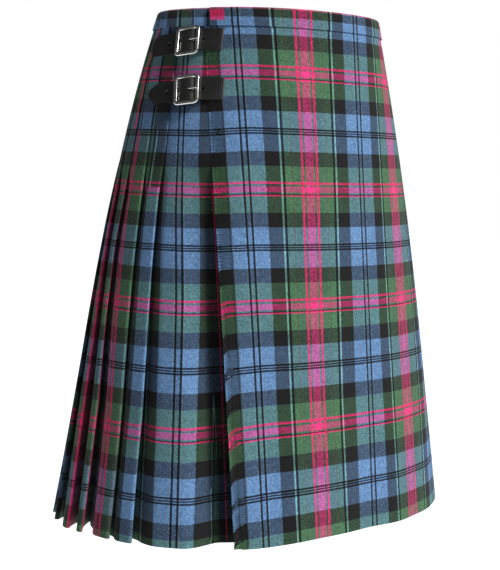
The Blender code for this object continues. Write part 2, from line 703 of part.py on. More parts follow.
def make_prong(name, hip):
    """The prong: a ring round the middle bar, then up through the strap and on to the front bar."""
    ring_radius = MIDDLE_BAR + GAP + PRONG / 2
    angles = np.radians(np.linspace(75, 375, 9))
    line = [(ring_radius * math.cos(a), MIDDLE_BAR_LIFT + ring_radius * math.sin(a)) for a in angles]
    on_bar = FRONT_BAR_LIFT + BAR_THICKNESS / 2 + GAP + PRONG / 2
    # Columns: u forwards of the middle bar, w out from the surface there.
    rise = ((3.0, 5.2), (4.2, 6.8), (5.4, 8.1), (7.2, 8.3), (12.0, 7.4))
    line += [(u * MM, w * MM) for u, w in rise]
    line.append((BUCKLE_WIDTH / 2 - 0.6 * MM, on_bar))
    path = [hip.out(u, 0, w) for u, w in line]
    return sweep("prong_" + name, path, hip.axes[2], PRONG_WIDTH, PRONG, 6, False, "silver")


# ---------------------------------------------------------------------------- the whole kilt

def main():
    for old in list(bpy.data.objects):
        bpy.data.objects.remove(old, do_unlink=True)
    make_over_apron()
    make_under_apron()
    third = PLEATS // 3
    for i, name in enumerate(("pleats_right", "pleats_back", "pleats_left")):
        make_pleats(name, i * third, (i + 1) * third)
    make_fringe()
    make_waistband()
    for name, strap in STRAPS.items():
        hip = Hip(strap["height"], strap["buckle"])
        make_strap(name, hip, strap["start"], strap["end"], strap["tip"])
        make_chape(name, hip)
        make_buckle(name, hip)
        make_prong(name, hip)


main()
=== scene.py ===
"""A knife-pleated kilt: its cloth, fringe, waistband, straps and buckles, finished over the frame.

Frame: +Z up, the front faces -Y, the wearer's right is -X, metres. A place on the kilt is a distance
round the body, a height, and a depth under the outer surface, in mm. "Round" runs from the middle
of the front backwards past the wearer's right hip.
"""

import math

import bpy
import numpy as np
from mathutils import Matrix, Vector


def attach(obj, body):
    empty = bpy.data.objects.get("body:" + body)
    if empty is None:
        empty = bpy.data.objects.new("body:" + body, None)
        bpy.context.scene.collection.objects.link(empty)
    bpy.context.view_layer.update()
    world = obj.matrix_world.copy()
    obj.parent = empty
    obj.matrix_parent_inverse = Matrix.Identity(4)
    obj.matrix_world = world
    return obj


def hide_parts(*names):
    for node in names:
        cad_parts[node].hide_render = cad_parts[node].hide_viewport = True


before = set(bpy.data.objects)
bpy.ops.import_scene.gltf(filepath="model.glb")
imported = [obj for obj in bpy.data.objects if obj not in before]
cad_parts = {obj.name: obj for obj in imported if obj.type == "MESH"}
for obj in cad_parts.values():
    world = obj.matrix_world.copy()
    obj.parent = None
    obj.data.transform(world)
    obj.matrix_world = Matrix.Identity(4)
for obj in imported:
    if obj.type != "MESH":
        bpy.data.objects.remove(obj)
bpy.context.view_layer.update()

MM = 0.001  # sizes are in mm, and add_piece turns them into metres

# ---- driving sizes

TOP, HEM, FELL = 30, -580, -150
CLOTH = 1.2
WEAVE = 1.05  # wall of the finished cloth
GAP = 0.3
LAYER = CLOTH + 0.5
PLEATS = 24
SEWN_STEP, FREE_STEP, HEM_STEP = 3.8, 8.5, 13.0  # down from pleat to pleat
SEWN_TURN, HEM_TURN = 9.0, 40.0  # width turned in behind each edge
UNEVEN_EDGE, UNEVEN_CREST, SPRING = 4.5, 2.2, 7.5
APRON_EDGE, FRINGE_TIP = 157, 176
SEAM, LOOSE_FROM = 158.2, 159.6  # the fringe's stitches, and its threads beyond
UNDER_DEPTH, UNDER_BAND_DEPTH, VALLEY = 2.2, 6.0, 30
HEM_DROP = 5
FRONT_STARTS = 400  # left of the middle of the front: where distances round start again
BAND_HEIGHT, BAND_LEG, BAND, BAND_GAP = 20, 12, 1.0, 0.6
BAND_END, BAND_JOIN = 168, 203.3
PATCH_START, PATCH_FOOT = 149.4, 16.4  # where the band's end shows its crimson stripe
EDGE = np.array([-1, 1])  # times a small number: both sides of an edge

SECTION_COLUMNS = (
    "height", "half_width", "front_depth", "back_depth", "first_edge", "apron_edge", "under_edge",
)
SECTIONS = np.array([
    (30, 141, 147, 92, 212, 215, 172),
    (-160, 194, 167, 123, 239.5, 245, 198),
    (-360, 232, 189, 142, 266, 285, 232),
    (-580, 264, 213, 180, 293.5, 330, 270),
])
FRONT_SQUARENESS = 2.33

STRAP, STRAP_WIDTH, STRAP_LEAVES, STRAP_TIP_LENGTH = 1.6, 27, 168, 14
CHAPE, CHAPE_WIDTH, CHAPE_LENGTH = 1.0, 24, 27
HOLES, HOLE_RADIUS = (19.6, 4.6, -11.6, -28.2), 2.2
BUCKLE_WIDTH, BUCKLE_HEIGHT, BUCKLE_TURN = 32.5, 36.5, math.radians(8)
BAR_WIDTH, BAR_THICKNESS, BUCKLE_CORNER, MIDDLE_BAR = 4.6, 2.6, 6.0, 1.1
FRONT_BAR_LIFT, MIDDLE_BAR_LIFT, BACK_BAR_LIFT = 4.4, 3.6, 6.0
PRONG_WIDTH, PRONG = 2.4, 1.2
BAR_SIDE = (BUCKLE_WIDTH - BAR_WIDTH) / 2  # from the buckle's middle to a side bar's middle
BEYOND = BAR_SIDE + 5  # where the strap is clear of the frame
# Each buckle's height and distance round, where its strap starts and ends, and the tip's shape.
STRAPS = {
    "upper": (-9.2, 197.5, 153, 262, "round"),
    "lower": (-66.6, 200.5, 156, 265.5, "pointed"),
}
TAIL_DROP = 0.03  # how steeply a strap's loose end falls

# How much further than the even step each pleat stands open at the hem, in mm, from the right hip.
OPENING = np.array([
    3.6, -1.5, 8.0, 5.0, 4.0, 1.0, 3.5, -1.0, 2.5, 0.0, 3.0, -2.0, 1.5,
    2.5, -0.5, 3.0, 1.0, -1.5, 2.0, 3.5, 0.0, 1.5, -1.0, 2.0, 1.0,
])

# How much further back the first four edges hang than an even spacing puts them, from the hem up.
ASTRAY_HEIGHTS = np.array([-580, -430, -340, -250, -190, -130, -35, 5])
ASTRAY = np.array([
    (1.5, 1.1, 3.0, 4.2, 4.0, 0, 0, 0), (5.0, 3.0, 3.8, 4.8, 4.5, 4, 3.5, 0),
    (5.5, 4.0, 10.0, 13.0, 10.5, 9, 9, 0), (0, 0, 1.0, 5.0, 6.5, 7, 7, 0),
])

# ---- the outer surface


def column(name, z):
    """The named column of SECTIONS at height z, on the cubic through its four rows."""
    return np.polyval(np.polyfit(SECTIONS[:, 0], SECTIONS[:, SECTION_COLUMNS.index(name)], 3), z)


def path_length(points):
    """The distance along a path from its first point to each."""
    return np.concatenate([[0], np.cumsum(np.linalg.norm(np.diff(points, axis=0), axis=1))])


def outline_table(heights, count):
    """For each height, count points spaced evenly round the outline, and the outline's length.

    x is half_width times the sine of an angle and y is depth times its cosine; in front both are
    raised to the power 2 / FRONT_SQUARENESS.
    """
    angle = np.linspace(0, 2 * math.pi, 1441)
    sine, cosine = np.sin(angle), np.cos(angle)
    power = np.where(cosine > 0, 2 / FRONT_SQUARENESS, 1.0)
    points, lengths = [], []
    for z in heights:
        depth = np.where(cosine > 0, column("front_depth", z), column("back_depth", z))
        x = -column("half_width", z) * np.sign(sine) * np.abs(sine) ** power
        y = -depth * np.sign(cosine) * np.abs(cosine) ** power
        distance = path_length(np.stack([x, y], axis=1))
        even = np.linspace(0, distance[-1], count)
        points.append(np.stack([np.interp(even, distance, x), np.interp(even, distance, y)], axis=1))
        lengths.append(distance[-1])
    return np.array(points), np.array(lengths)


TABLE_HEIGHTS = np.linspace(HEM - 20, TOP + 20, 131)
TABLE, TABLE_GIRTH = outline_table(TABLE_HEIGHTS, 2401)


def girth(z):
    """The distance once round the outer surface at height z."""
    return np.interp(z, TABLE_HEIGHTS, TABLE_GIRTH)


def outline(rounds, z):
    """(x, y) of the outer surface at those distances round and heights, from the table."""
    across = np.mod(rounds / girth(z), 1) * (TABLE.shape[1] - 1)
    down = (z - TABLE_HEIGHTS[0]) / (TABLE_HEIGHTS[1] - TABLE_HEIGHTS[0])
    i = np.clip(down.astype(int), 0, len(TABLE_HEIGHTS) - 2)
    j = np.clip(across.astype(int), 0, TABLE.shape[1] - 2)
    a, b = (down - i)[..., None], (across - j)[..., None]
    low = TABLE[i, j] * (1 - b) + TABLE[i, j + 1] * b
    high = TABLE[i + 1, j] * (1 - b) + TABLE[i + 1, j + 1] * b
    return low * (1 - a) + high * a


def rise(value, start, end):
    """How far the value is on its way from start to end: from 0 to 1."""
    return np.clip((value - start) / (end - start), 0, 1)


def smooth(share):
    """Rises from 0 to 1 with the share s, level at both ends: s squared times 3 - 2 s."""
    share = np.clip(share, 0, 1)
    return share * share * (3 - 2 * share)


def ease(value, start, end):
    """The same as rise, but level at both ends."""
    return smooth(rise(value, start, end))


def hanging(z):
    """0 down to the end of the sewing, then growing evenly to 1 at the hem."""
    return rise(z, FELL, HEM)


def from_front(rounds, z):
    """Those distances round, as distances from the middle of the front, negative on the left."""
    return np.mod(rounds + FRONT_STARTS, girth(z)) - FRONT_STARTS


def hem_drop(rounds, z):
    """How much lower the cloth hangs at the hips and the back, growing with the square of the
    distance below the sewn part."""
    r = np.mod(rounds, girth(z))
    return HEM_DROP * ease(r, 60, 150) * ease(girth(z) - r, 250, 400) * hanging(z) ** 2


def sway(rounds, z):
    """How far the aprons bulge outwards: the sum of three long sine waves, nearly upright, that
    grow towards the hem and fade out at both hips."""
    r = from_front(rounds, z)
    waves = sum(
        size * np.sin(r / wide + phase + z / tall)
        for size, wide, phase, tall in ((1.5, 31, 0.6, 300), (1.1, 19, 2.2, -210), (0.7, 12.5, 4.0, 160))
    )
    return waves * rise(z, -170, -580) ** 1.3 * rise(np.abs(r), 240, 150)


def place(rounds, z, depths):
    """Points at distances round, heights and depths under the outer surface: the outline's point
    plus its inward normal times the depth, lowered by hem_drop. All may be arrays of one shape."""
    rounds, z, depths = np.broadcast_arrays(*[np.asarray(value, float) for value in (rounds, z, depths)])
    reach = 1.5
    ahead = outline(rounds + reach, z) - outline(rounds - reach, z)
    ahead /= np.linalg.norm(ahead, axis=-1, keepdims=True)
    inward = np.stack([ahead[..., 1], -ahead[..., 0]], axis=-1)
    flat = outline(rounds, z) + inward * (depths - sway(rounds, z))[..., None]
    return np.concatenate([flat, (z - hem_drop(rounds, z))[..., None]], axis=-1)


def local_axes(rounds, z):
    """The surface point there, and unit vectors forwards round the body, up it and outwards."""
    step = 2
    here = place(rounds, z, 0)
    forward = unit(place(rounds - step, z, 0) - place(rounds + step, z, 0))
    up = place(rounds, z + step, 0) - place(rounds, z - step, 0)
    up = unit(up - forward * (up * forward).sum(axis=-1, keepdims=True))
    return here, forward, up, np.cross(forward, up)


def unit(vectors):
    """The vectors at length 1."""
    return vectors / np.maximum(np.linalg.norm(vectors, axis=-1, keepdims=True), 1e-12)


# ---- meshes


def add_object(name, data):
    """A new object in the scene that holds the data."""
    added = bpy.data.objects.new(name, data)
    bpy.context.scene.collection.objects.link(added)
    return added


def add_piece(name, points, faces, material, threads=None, sharp=50):
    """An object of these points and groups of faces, smooth but for edges sharper than that many
    degrees. threads gives each point's place in the cloth: across, along, and a shade."""
    points = np.asarray(points, float).reshape(-1, 3) * MM
    loops = np.concatenate([group.ravel() for group in faces])
    sizes = np.concatenate([np.full(len(group), group.shape[1]) for group in faces])
    mesh = bpy.data.meshes.new(name)
    mesh.vertices.add(len(points))
    mesh.vertices.foreach_set("co", points.ravel())
    mesh.loops.add(len(loops))
    mesh.loops.foreach_set("vertex_index", loops.astype(np.int32))
    mesh.polygons.add(len(sizes))
    mesh.polygons.foreach_set("loop_start", np.concatenate([[0], np.cumsum(sizes)[:-1]]).astype(np.int32))
    mesh.update(calc_edges=True)
    mesh.validate()
    mesh.shade_smooth()
    mesh.set_sharp_from_angle(angle=math.radians(sharp))
    if threads is not None:
        layer = mesh.attributes.new("threads", "FLOAT_VECTOR", "POINT")
        layer.data.foreach_set("vector", np.asarray(threads, np.float32).reshape(-1))
    mesh.materials.append(material)
    return add_object(name, mesh)


def grid_quads(columns, rows, first=0, round_columns=False, round_rows=False):
    """The quads of a grid of points, column by column, closed on itself where asked."""
    i = np.arange(columns if round_columns else columns - 1)[:, None]
    j = np.arange(rows if round_rows else rows - 1)[None, :]
    k, n = (i + 1) % columns, (j + 1) % rows
    quads = np.stack([i * rows + j, k * rows + j, k * rows + n, i * rows + n], axis=-1)
    return first + quads.reshape(-1, 4)


def sheet_normals(middle):
    """The unit normal at each point of a grid, from the differences along both ways."""
    return unit(np.cross(np.gradient(middle, axis=0), np.gradient(middle, axis=1)))


def shell(name, middle, thickness, material, threads, sharp=50):
    """A closed wall round a grid of middle points: each moves half the thickness both ways along
    the normal, and the two skins are joined round their border."""
    columns, rows, _ = middle.shape
    offset = sheet_normals(middle) * np.asarray(thickness)[..., None] / 2
    points = np.concatenate([(middle + offset).reshape(-1, 3), (middle - offset).reshape(-1, 3)])
    inner = columns * rows
    top, side = np.arange(columns) * rows, np.arange(rows)
    foot, far = top + rows - 1, inner - rows + side
    faces = [
        grid_quads(columns, rows), grid_quads(columns, rows, inner)[:, ::-1],
        strip(top, top + inner), strip(foot + inner, foot),
        strip(side + inner, side), strip(far, far + inner),
    ]
    both = np.concatenate([threads.reshape(-1, 3)] * 2)
    return add_piece(name, points, faces, material, both, sharp)


def strip(first, second):
    """The quads between two rows of points."""
    return np.stack([first[:-1], second[:-1], second[1:], first[1:]], axis=-1)


def many_bars(count, rings, sides, flip):
    """The faces of count closed bars, each with that many rings of points; flip turns them over."""
    first = (np.arange(count) * rings * sides)[:, None, None]
    way = -1 if flip else 1
    ring = np.arange(sides)
    ends = [ring[None, ::-way], (rings - 1) * sides + ring[None, ::way]]
    one = [grid_quads(rings, sides, 0, False, True)[:, ::way], *ends]
    return [(group[None] + first).reshape(-1, group.shape[1]) for group in one]


def bar(path, across, width, thickness, sides, closed=False, roundness=1.0):
    """Points and faces of a bar along a path. Its section is a rounded rectangle: cosine and sine
    of an angle, each to the power roundness, times half the width and half the thickness."""
    path = np.asarray(path, float)
    forward = np.gradient(path, axis=0)
    if closed:
        forward = np.roll(path, -1, axis=0) - np.roll(path, 1, axis=0)
    forward = unit(forward)
    across = np.broadcast_to(across, path.shape)
    across = unit(across - forward * (across * forward).sum(axis=1, keepdims=True))
    other = np.cross(forward, across)
    angle = np.arange(sides) * 2 * math.pi / sides
    points = path[:, None]
    for way, share, size in ((across, np.cos(angle), width), (other, np.sin(angle), thickness)):
        share = np.sign(share) * np.abs(share) ** roundness
        points = points + way[:, None] * share[:, None] * np.reshape(size, (-1, 1, 1)) / 2
    faces = many_bars(1, len(path), sides, True)
    if closed:
        faces = [grid_quads(len(path), sides, 0, True, True)[:, ::-1]]
    return points.reshape(-1, 3), faces


def smooth_path(stations, count):
    """count points along a smooth curve through the stations, evenly spread by station: a cubic
    between each two, with slopes from their neighbours."""
    stations = np.asarray(stations, float)
    at = np.linspace(0, len(stations) - 1, count)[:, None]
    i = np.clip(at[:, 0].astype(int), 0, len(stations) - 2)
    t = at - i[:, None]
    slope = np.gradient(stations, axis=0)
    starts = (2 * t**3 - 3 * t**2 + 1) * stations[i] + (t**3 - 2 * t**2 + t) * slope[i]
    return starts + (3 * t**2 - 2 * t**3) * stations[i + 1] + (t**3 - t**2) * slope[i + 1]


# ---- materials


def arithmetic(operation, swapped=False):
    """A method that adds the node for that operation on a number and another value."""
    def work(self, other=0.0):
        first, second = (other, self) if swapped else (self, other)
        return self.finish.node("Math", {"operation": operation}, {0: first, 1: second})
    return work


class Number:
    """A number on its way through a material. Arithmetic on it adds the nodes that work it out."""

    def __init__(self, finish, link):
        self.finish, self.link = finish, link

    __add__ = __radd__ = arithmetic("ADD")
    __mul__ = __rmul__ = arithmetic("MULTIPLY")
    __sub__, __rsub__ = arithmetic("SUBTRACT"), arithmetic("SUBTRACT", True)
    __truediv__, floor, sine = arithmetic("DIVIDE"), arithmetic("FLOOR"), arithmetic("SINE")
    wrap, mirror, above = arithmetic("FLOORED_MODULO"), arithmetic("PINGPONG"), arithmetic("GREATER_THAN")


class Finish:
    """A material under construction: feed and bump set its shader, and the other methods add a
    node and return its value. Constants are the shader's own sockets."""

    def __init__(self, name, **constants):
        self.material = bpy.data.materials.new(name)
        self.material.use_nodes = True
        self.tree = self.material.node_tree
        self.shader = self.tree.nodes["Principled BSDF"]
        for socket, value in constants.items():
            self.shader.inputs[socket.replace("_", " ")].default_value = value

    def node(self, kind, settings, sockets, output=0):
        """A node of that kind: its settings first, then the values or links of its sockets."""
        node = self.tree.nodes.new("ShaderNode" + kind)
        for setting, value in settings.items():
            setattr(node, setting, value)
        for socket, value in sockets.items():
            if isinstance(value, Number):
                self.tree.links.new(value.link, node.inputs[socket])
            else:
                node.inputs[socket].default_value = value
        return Number(self, node.outputs[output])

    def feed(self, socket, value):
        self.tree.links.new(value.link, self.shader.inputs[socket])

    def blend(self, share, first, second, how="MIX"):
        return self.node("Mix", {"data_type": "RGBA", "blend_type": how},
                         {0: share, 6: first, 7: second}, 2)

    def noise(self, scale, detail=2.0, roughness=0.5, vector=None):
        if vector is None:
            vector = self.node("TexCoord", {}, {}, 3)
        return self.node("TexNoise", {}, {"Vector": vector, "Scale": scale, "Detail": detail,
                                                    "Roughness": roughness})

    def bump(self, height, distance, strength):
        sockets = {"Height": height, "Distance": distance, "Strength": strength}
        self.feed("Normal", self.node("Bump", {}, sockets))


# The dyes, as display colours, and how strongly each shows where it crosses another.
DYES = {
    "blue": (0.41, 0.56, 0.74, 0.25), "sky": (0.47, 0.63, 0.80, 0.28), "ink": (0.05, 0.05, 0.08, 0.8),
    "black": (0.10, 0.10, 0.105, 0.25), "pale": (0.55, 0.80, 0.76, 0.28),
    "green": (0.30, 0.465, 0.335, 0.27), "grey_green": (0.285, 0.425, 0.34, 0.25),
    "moss": (0.38, 0.34, 0.30, 0.3),
    "pink": (1.0, 0.25, 0.54, 0.30), "rose": (1.0, 0.19, 0.45, 0.75),
}
# The sett, from the middle of the blue across to the middle of the pink, and one whole repeat down
# from the middle of the pink: where each stripe starts, in mm.
ACROSS_HALF, ALONG_REPEAT = 80.35, 134.9
ACROSS = (
    (0, "blue"), (1.9, "ink"), (4.5, "sky"), (6.0, "blue"), (21.9, "black"), (39.4, "pale"),
    (41.5, "green"), (42.3, "ink"), (45.2, "green"), (54.6, "moss"), (56.4, "green"), (58.5, "grey_green"),
    (68.0, "rose"), (71.5, "grey_green"), (74.2, "pink"),
)
ALONG = (
    (0, "pink"), (3.65, "grey_green"), (5.4, "ink"), (6.4, "rose"), (8.4, "green"), (27.15, "black"),
    (44.15, "blue"), (63.45, "ink"), (65.45, "blue"), (66.45, "ink"), (68.45, "blue"), (69.45, "ink"),
    (71.45, "blue"), (90.75, "black"), (107.75, "green"), (126.25, "rose"), (128.75, "grey_green"),
    (131.25, "pink"),
)
PINK_ROW = -43.6  # height of the middle of the first pink row, in mm
BLUE_ROW = 44.15  # from there down to the start of the blue row, in mm
BAND_ROW = 20  # height at which the blue row starts on the waistband
ROSE, BLACK = 69.8, 38.5  # places across, within the rose and the black stripe
BLUE_MIDDLE = 137  # the middle of the over apron's blue stripe nearest to the fringe
PINK_LINE = np.array([177.3, 179.2])  # where a pink line runs down beside the fringe
THREAD = 0.6  # spacing of the threads, in mm
DEPTH = 0.49  # how much of the dyes' light the cloth gives back


def tartan(name, upright_share=1.0):
    """Wool tartan in a two-and-two twill.

    The attribute "threads" gives each point's place across and along the cloth. Each is folded back
    and forth over half a repeat and looked up in a ramp of stripes. The two stripes mix by their
    strengths, and by which thread lies on top in the twill, and fine noise varies the dye.
    """
    finish = Finish(name, Roughness=0.9, Sheen_Weight=0.05, Sheen_Roughness=0.5, Specular_IOR_Level=0.15)
    threads = finish.node("Attribute", {"attribute_name": "threads"}, {}, "Vector")
    across, along, shade = [
        finish.node("SeparateXYZ", {}, {0: threads}, axis) for axis in range(3)
    ]

    wander = finish.noise(420, 2.0, 0.6)
    fibres = finish.noise(760, 3.0, 0.7)
    across, along = across + (wander - 0.5) * 1.1, along + (fibres - 0.5) * 0.9

    def stripes(share, sett, length):
        colour = finish.node("ValToRGB", {}, {"Fac": share})
        ramp = colour.link.node.color_ramp
        ramp.interpolation = "CONSTANT"
        for start, _ in sett[1:-1]:
            ramp.elements.new(start / length)
        for element, (start, dye) in zip(ramp.elements, sett):
            element.position, element.color = start / length, DYES[dye]
        return colour, Number(finish, colour.link.node.outputs["Alpha"])

    upright, upright_strength = stripes(across.mirror(ACROSS_HALF) / ACROSS_HALF, ACROSS, ACROSS_HALF)
    down = (PINK_ROW - along).wrap(ALONG_REPEAT) / ALONG_REPEAT
    level, level_strength = stripes(down, ALONG, ALONG_REPEAT)
    diagonal = ((across / THREAD).floor() + (along / THREAD).floor()).wrap(4)
    on_top = diagonal.above(1.5)
    upright_strength = upright_strength * upright_share
    share = upright_strength / (upright_strength + level_strength)
    share = share + (on_top - 0.5) * 0.2 + (fibres - 0.5) * 0.9
    colour = finish.blend(share, level, upright)
    cloudy = finish.noise(16, 2.0)
    # shade is the third value of "threads": a thread's own tone, painted shade in the under apron's
    # valley, and a painted highlight on the fringe's tips.
    tone = (wander - 0.5) * 0.75 + (fibres - 0.5) * 0.6 + (cloudy - 0.5) * 0.16 + shade
    tone_colour = finish.node("CombineColor", {}, {0: tone, 1: tone, 2: tone})
    colour = finish.blend(1.0, colour, tone_colour, "MULTIPLY")
    colour = finish.node("Gamma", {}, {"Color": colour, "Gamma": 2.2})
    colour = finish.blend(1.0, colour, (DEPTH, DEPTH, DEPTH, 1), "MULTIPLY")
    finish.feed("Base Color", colour)
    rib = (((across + along) / (4 * THREAD)) * (2 * math.pi)).sine()
    finish.bump(rib * 0.4 + fibres * 1.2 + wander, 0.25 * MM, 0.5)
    return finish.material


def leather(name, dark, light, pale):
    """Finished leather: a fine pebbled grain, uneven dye, a soft shine that the grain breaks, and
    a painted highlight, in the pale colour, where the attribute "threads" asks for it."""
    finish = Finish(name, Roughness=0.5, Specular_IOR_Level=0.45)
    pebbles = finish.node("TexVoronoi", {"feature": "F1"}, {
        "Vector": finish.node("TexCoord", {}, {}, 3), "Scale": 700.0})
    worn = finish.noise(60, 4.0)
    # Painted highlight: the pale colour is blended in where "threads" says the strap bends.
    painted_highlight = finish.node("Attribute", {"attribute_name": "threads"}, {}, "Vector")
    painted_highlight = finish.node("SeparateXYZ", {}, {0: painted_highlight}, 0)
    finish.feed("Base Color", finish.blend(painted_highlight, finish.blend(worn, dark, light), pale))
    finish.feed("Roughness", worn * 0.25 + 0.32)
    finish.bump(pebbles + worn * 0.6, 0.12 * MM, 0.55)
    return finish.material


def silver(name):
    """Plated metal, polished, with faint brushing and dull spots."""
    finish = Finish(name, Metallic=1.0, Roughness=0.24)
    painted_shade_line = finish.noise(140, 3.0)
    finish.feed("Base Color", finish.blend(painted_shade_line, (0.62, 0.61, 0.59, 1), (0.86, 0.85, 0.83, 1)))
    finish.feed("Roughness", painted_shade_line * 0.22 + 0.12)
    finish.bump(finish.noise(420, 2.0), 0.05 * MM, 0.3)
    return finish.material


def waxed_thread(name, colour):
    """Sewing thread: two plies, seen as fine slanting ribs."""
    finish = Finish(name, Roughness=0.6)
    ribs = finish.noise(1800, 1.0)
    finish.feed("Base Color", finish.blend(ribs, colour, tuple(0.6 * c for c in colour[:3]) + (1,)))
    finish.bump(ribs, 0.08 * MM, 0.4)
    return finish.material


TARTAN = tartan("wool_tartan")
TARTAN_BAND = tartan("wool_tartan_band")
FRINGE_YARN = tartan("fringe_yarn", 0.2)
# The third colour is a painted highlight, where a strap bends off the apron towards its buckle.
LEATHER = leather("strap_leather", (0.004, 0.004, 0.004, 1), (0.010, 0.009, 0.009, 1),
                  (0.05, 0.045, 0.038, 1))
SILVER = silver("plated_buckle")
PALE_THREAD = waxed_thread("pale_stitching", (0.07, 0.06, 0.05, 1))
DARK_THREAD = waxed_thread("dark_stitching", (0.012, 0.012, 0.016, 1))

# ---- pleats

# The pleats' stripes change twice, each time between two rows of points: within a dark row and
# within a pink one.
SWITCHES = np.array([-113.0, -179.75])
ROWS = np.sort(np.concatenate([
    np.linspace(TOP, FELL, 24)[:-1], np.linspace(FELL, HEM, 66),
    (SWITCHES + 0.15 * EDGE[:, None]).ravel(),
]))[::-1]


def hang(z):
    """How open the pleats are: 0 down to the end of the sewing, 1 at the hem."""
    return hanging(z) ** 1.4


def free(z):
    """How freely the cloth hangs: 0 where it is sewn, 1 a little below."""
    return ease(z, FELL, FELL - 45)


def turn_in(z):
    """The width of cloth turned in behind a pleat's edge."""
    return SEWN_TURN + (HEM_TURN - SEWN_TURN) * ((TOP - z) / (TOP - HEM)) ** 1.3


def step_in(k, z):
    """How far a pleat's face lies under the next pleat's edge; k = -1 is the plain panel."""
    opened = HEM_STEP - FREE_STEP + OPENING[k + 1]
    return SEWN_STEP + (FREE_STEP - SEWN_STEP) * free(z) + opened * hang(z)


def edge_round(k, z):
    """Where pleat k's edge lies. Pleat 0 is at the right hip; k = PLEATS is the over apron's edge."""
    first = column("first_edge", z)
    last = girth(z) - column("apron_edge", z)
    stray = UNEVEN_EDGE * math.sin(2.4 + 2.6 * k) * hang(z)
    wave = 0.9 * np.sin(z / 47 + 1.9 * k) * hang(z)
    astray = np.interp(z, ASTRAY_HEIGHTS, ASTRAY[k]) if k < len(ASTRAY) else 0
    return first + (last - first) * k / PLEATS + stray + wave * (k < PLEATS) + astray


def crest(k, z):
    """The depth of the middle of the cloth at pleat k's edge: less where the pleats spring out."""
    loose = 0.5 + 0.5 * math.sin(0.4 + 1.7 * k)
    spring = SPRING * min(k / 3, (PLEATS - k) / 3, 1) * np.sqrt(hang(z))
    return CLOTH / 2 + UNEVEN_CREST * loose * hang(z) * (0 < k < PLEATS) - spring


def fold_radius(z):
    """The radius of a pleat's edge: pressed flat where it is sewn, rounder where it hangs."""
    return LAYER / 2 + 1.5 * hang(z)


def face_slope(k, z):
    """How fast the cloth under pleat k + 1 goes deeper; k = -1 is the plain panel."""
    if k < 0:
        return step_in(0, z) / (edge_round(1, z) - edge_round(0, z))
    return (crest(k + 1, z) + step_in(k, z) - crest(k, z)) / (edge_round(k + 1, z) - edge_round(k, z))


def inner_fold(k, z):
    """Where the cloth under pleat k turns: its distance round, and the deeper layer's depth."""
    slope = face_slope(k - 1, z)
    return edge_round(k, z) + turn_in(z), crest(k, z) + step_in(k - 1, z) + slope * turn_in(z)


def between(first, last, count):
    """count even steps down from the row first, which is left out, to the row last."""
    share = np.linspace(0, 1, count + 1)[1:, None]
    return np.asarray(first)[..., None, :] + (np.asarray(last) - first)[..., None, :] * share


def arc(centre_round, centre_depth, radius, degrees):
    """A profile round a fold: the centre minus radius times the cosine round, plus its sine deep."""
    angle = np.radians(degrees)[:, None]
    return np.array([centre_round - radius * np.cos(angle), centre_depth + radius * np.sin(angle)])


def return_and_nose(k, z):
    """The profile of the layer turned in behind pleat k's edge, and of the rounded edge itself."""
    fold, deep = inner_fold(k, z)
    edge, top, radius = edge_round(k, z), crest(k, z), fold_radius(z)
    half = LAYER / 2
    back = arc(fold - half, deep - half, half, (180, 225, 270))
    layer = between(back[:, -1], [edge + radius, top + 2 * radius], 5)[:, :-1]
    nose = arc(edge + radius, top + radius, radius, np.linspace(90, -90, 8))
    return np.concatenate([back, layer, nose], axis=1)


def face(k, z):
    """The profile of pleat k's face and the cloth under pleat k + 1, as far as the inner fold.

    Along the face a share t runs from 0 to 1. Where it is sewn the depth grows by 0.14 t plus
    0.86 t to the seventh. Where it hangs it grows by 0.1 t, and then dives under the next edge from
    a share that falls with k and with hang, by the rest of the way to the power 1.6.
    """
    start, stop = edge_round(k, z) + fold_radius(z), edge_round(k + 1, z)
    fold, deep = inner_fold(k + 1, z)
    top, under = crest(k, z), crest(k + 1, z) + step_in(k, z)
    t = (1 - (1 - np.linspace(0, 1, 17)[1:]) ** 1.25)[:, None]
    begins = (0.6, 0.56, 0.2)[min(k, 2)] - 0.14 * hang(z)
    sewn = 0.14 * t + 0.86 * t**7
    loose = 0.1 * t + 0.9 * rise(t, begins, 1) ** 1.6
    shown = [start + (stop - start) * t, top + (under - top) * (sewn + (loose - sewn) * free(z))]
    hidden = between([stop, under], [fold - LAYER / 2, deep], 4)
    return np.concatenate([shown, hidden], axis=1)


def pleat_phase(k, z):
    """Where in the sett pleat k's edge lies, in mm: above, between and below the SWITCHES."""
    even = 29.6 + 24.6 * k
    drift = 6 * ease(SWITCHES[1] - z, 0, 350)
    above, between_them, below = {
        0: (21.95, 26.5, 5.5), 1: (-22.0, 50.5, 48.5 + drift),
        2: (88.6, 94.0, 93.0), 3: (99.0, 99.0, 91.0),
    }.get(k, (even, even, even))
    return np.where(z > SWITCHES[0], above, np.where(z > SWITCHES[1], between_them, below))


def row_shift(rounds, z):
    """How much higher in the sett the rows lie than their height says, from a few heights in front
    and at the right hip, where the cloth hangs lower. It fades out towards the left behind, and on
    the left a lift of its own grows from 100 mm below the waist to the top."""
    r = from_front(rounds, z)
    front = np.interp(z, (-580, -430, -340, -260, -100, 30), (11, 1, -2.4, -2.4, -0.5, 0))
    hip = np.interp(z, (-580, -430, -340, -260, -180, -130, -100, -62, -45, 30),
                    (16, 7, 1.5, 1, 2.6, 4.5, 4.5, 4, 2.1, 3))
    behind = ease(girth(z) - r, 600, 400)
    on_left = ease(r, -90, -150) + behind
    at_hip = ease(r, 120, 200) * (1 - behind)
    return front + (hip - front) * at_hip + 5 * on_left * rise(z, -100, 30)


def cloth_threads(across, rounds, z, shade=1.0):
    """The "threads" attribute: each point's place across and along the cloth, and a shade."""
    across, rounds, z, shade = np.broadcast_arrays(across, rounds, z, shade)
    return np.stack([across, z + row_shift(rounds, z), shade], axis=-1)


def cloth_length(rounds, depths):
    """The length of cloth from the first point of a profile to each."""
    steps = np.hypot(np.diff(rounds, axis=0), np.diff(depths, axis=0))
    return np.concatenate([np.zeros((1, steps.shape[1])), np.cumsum(steps, axis=0)])


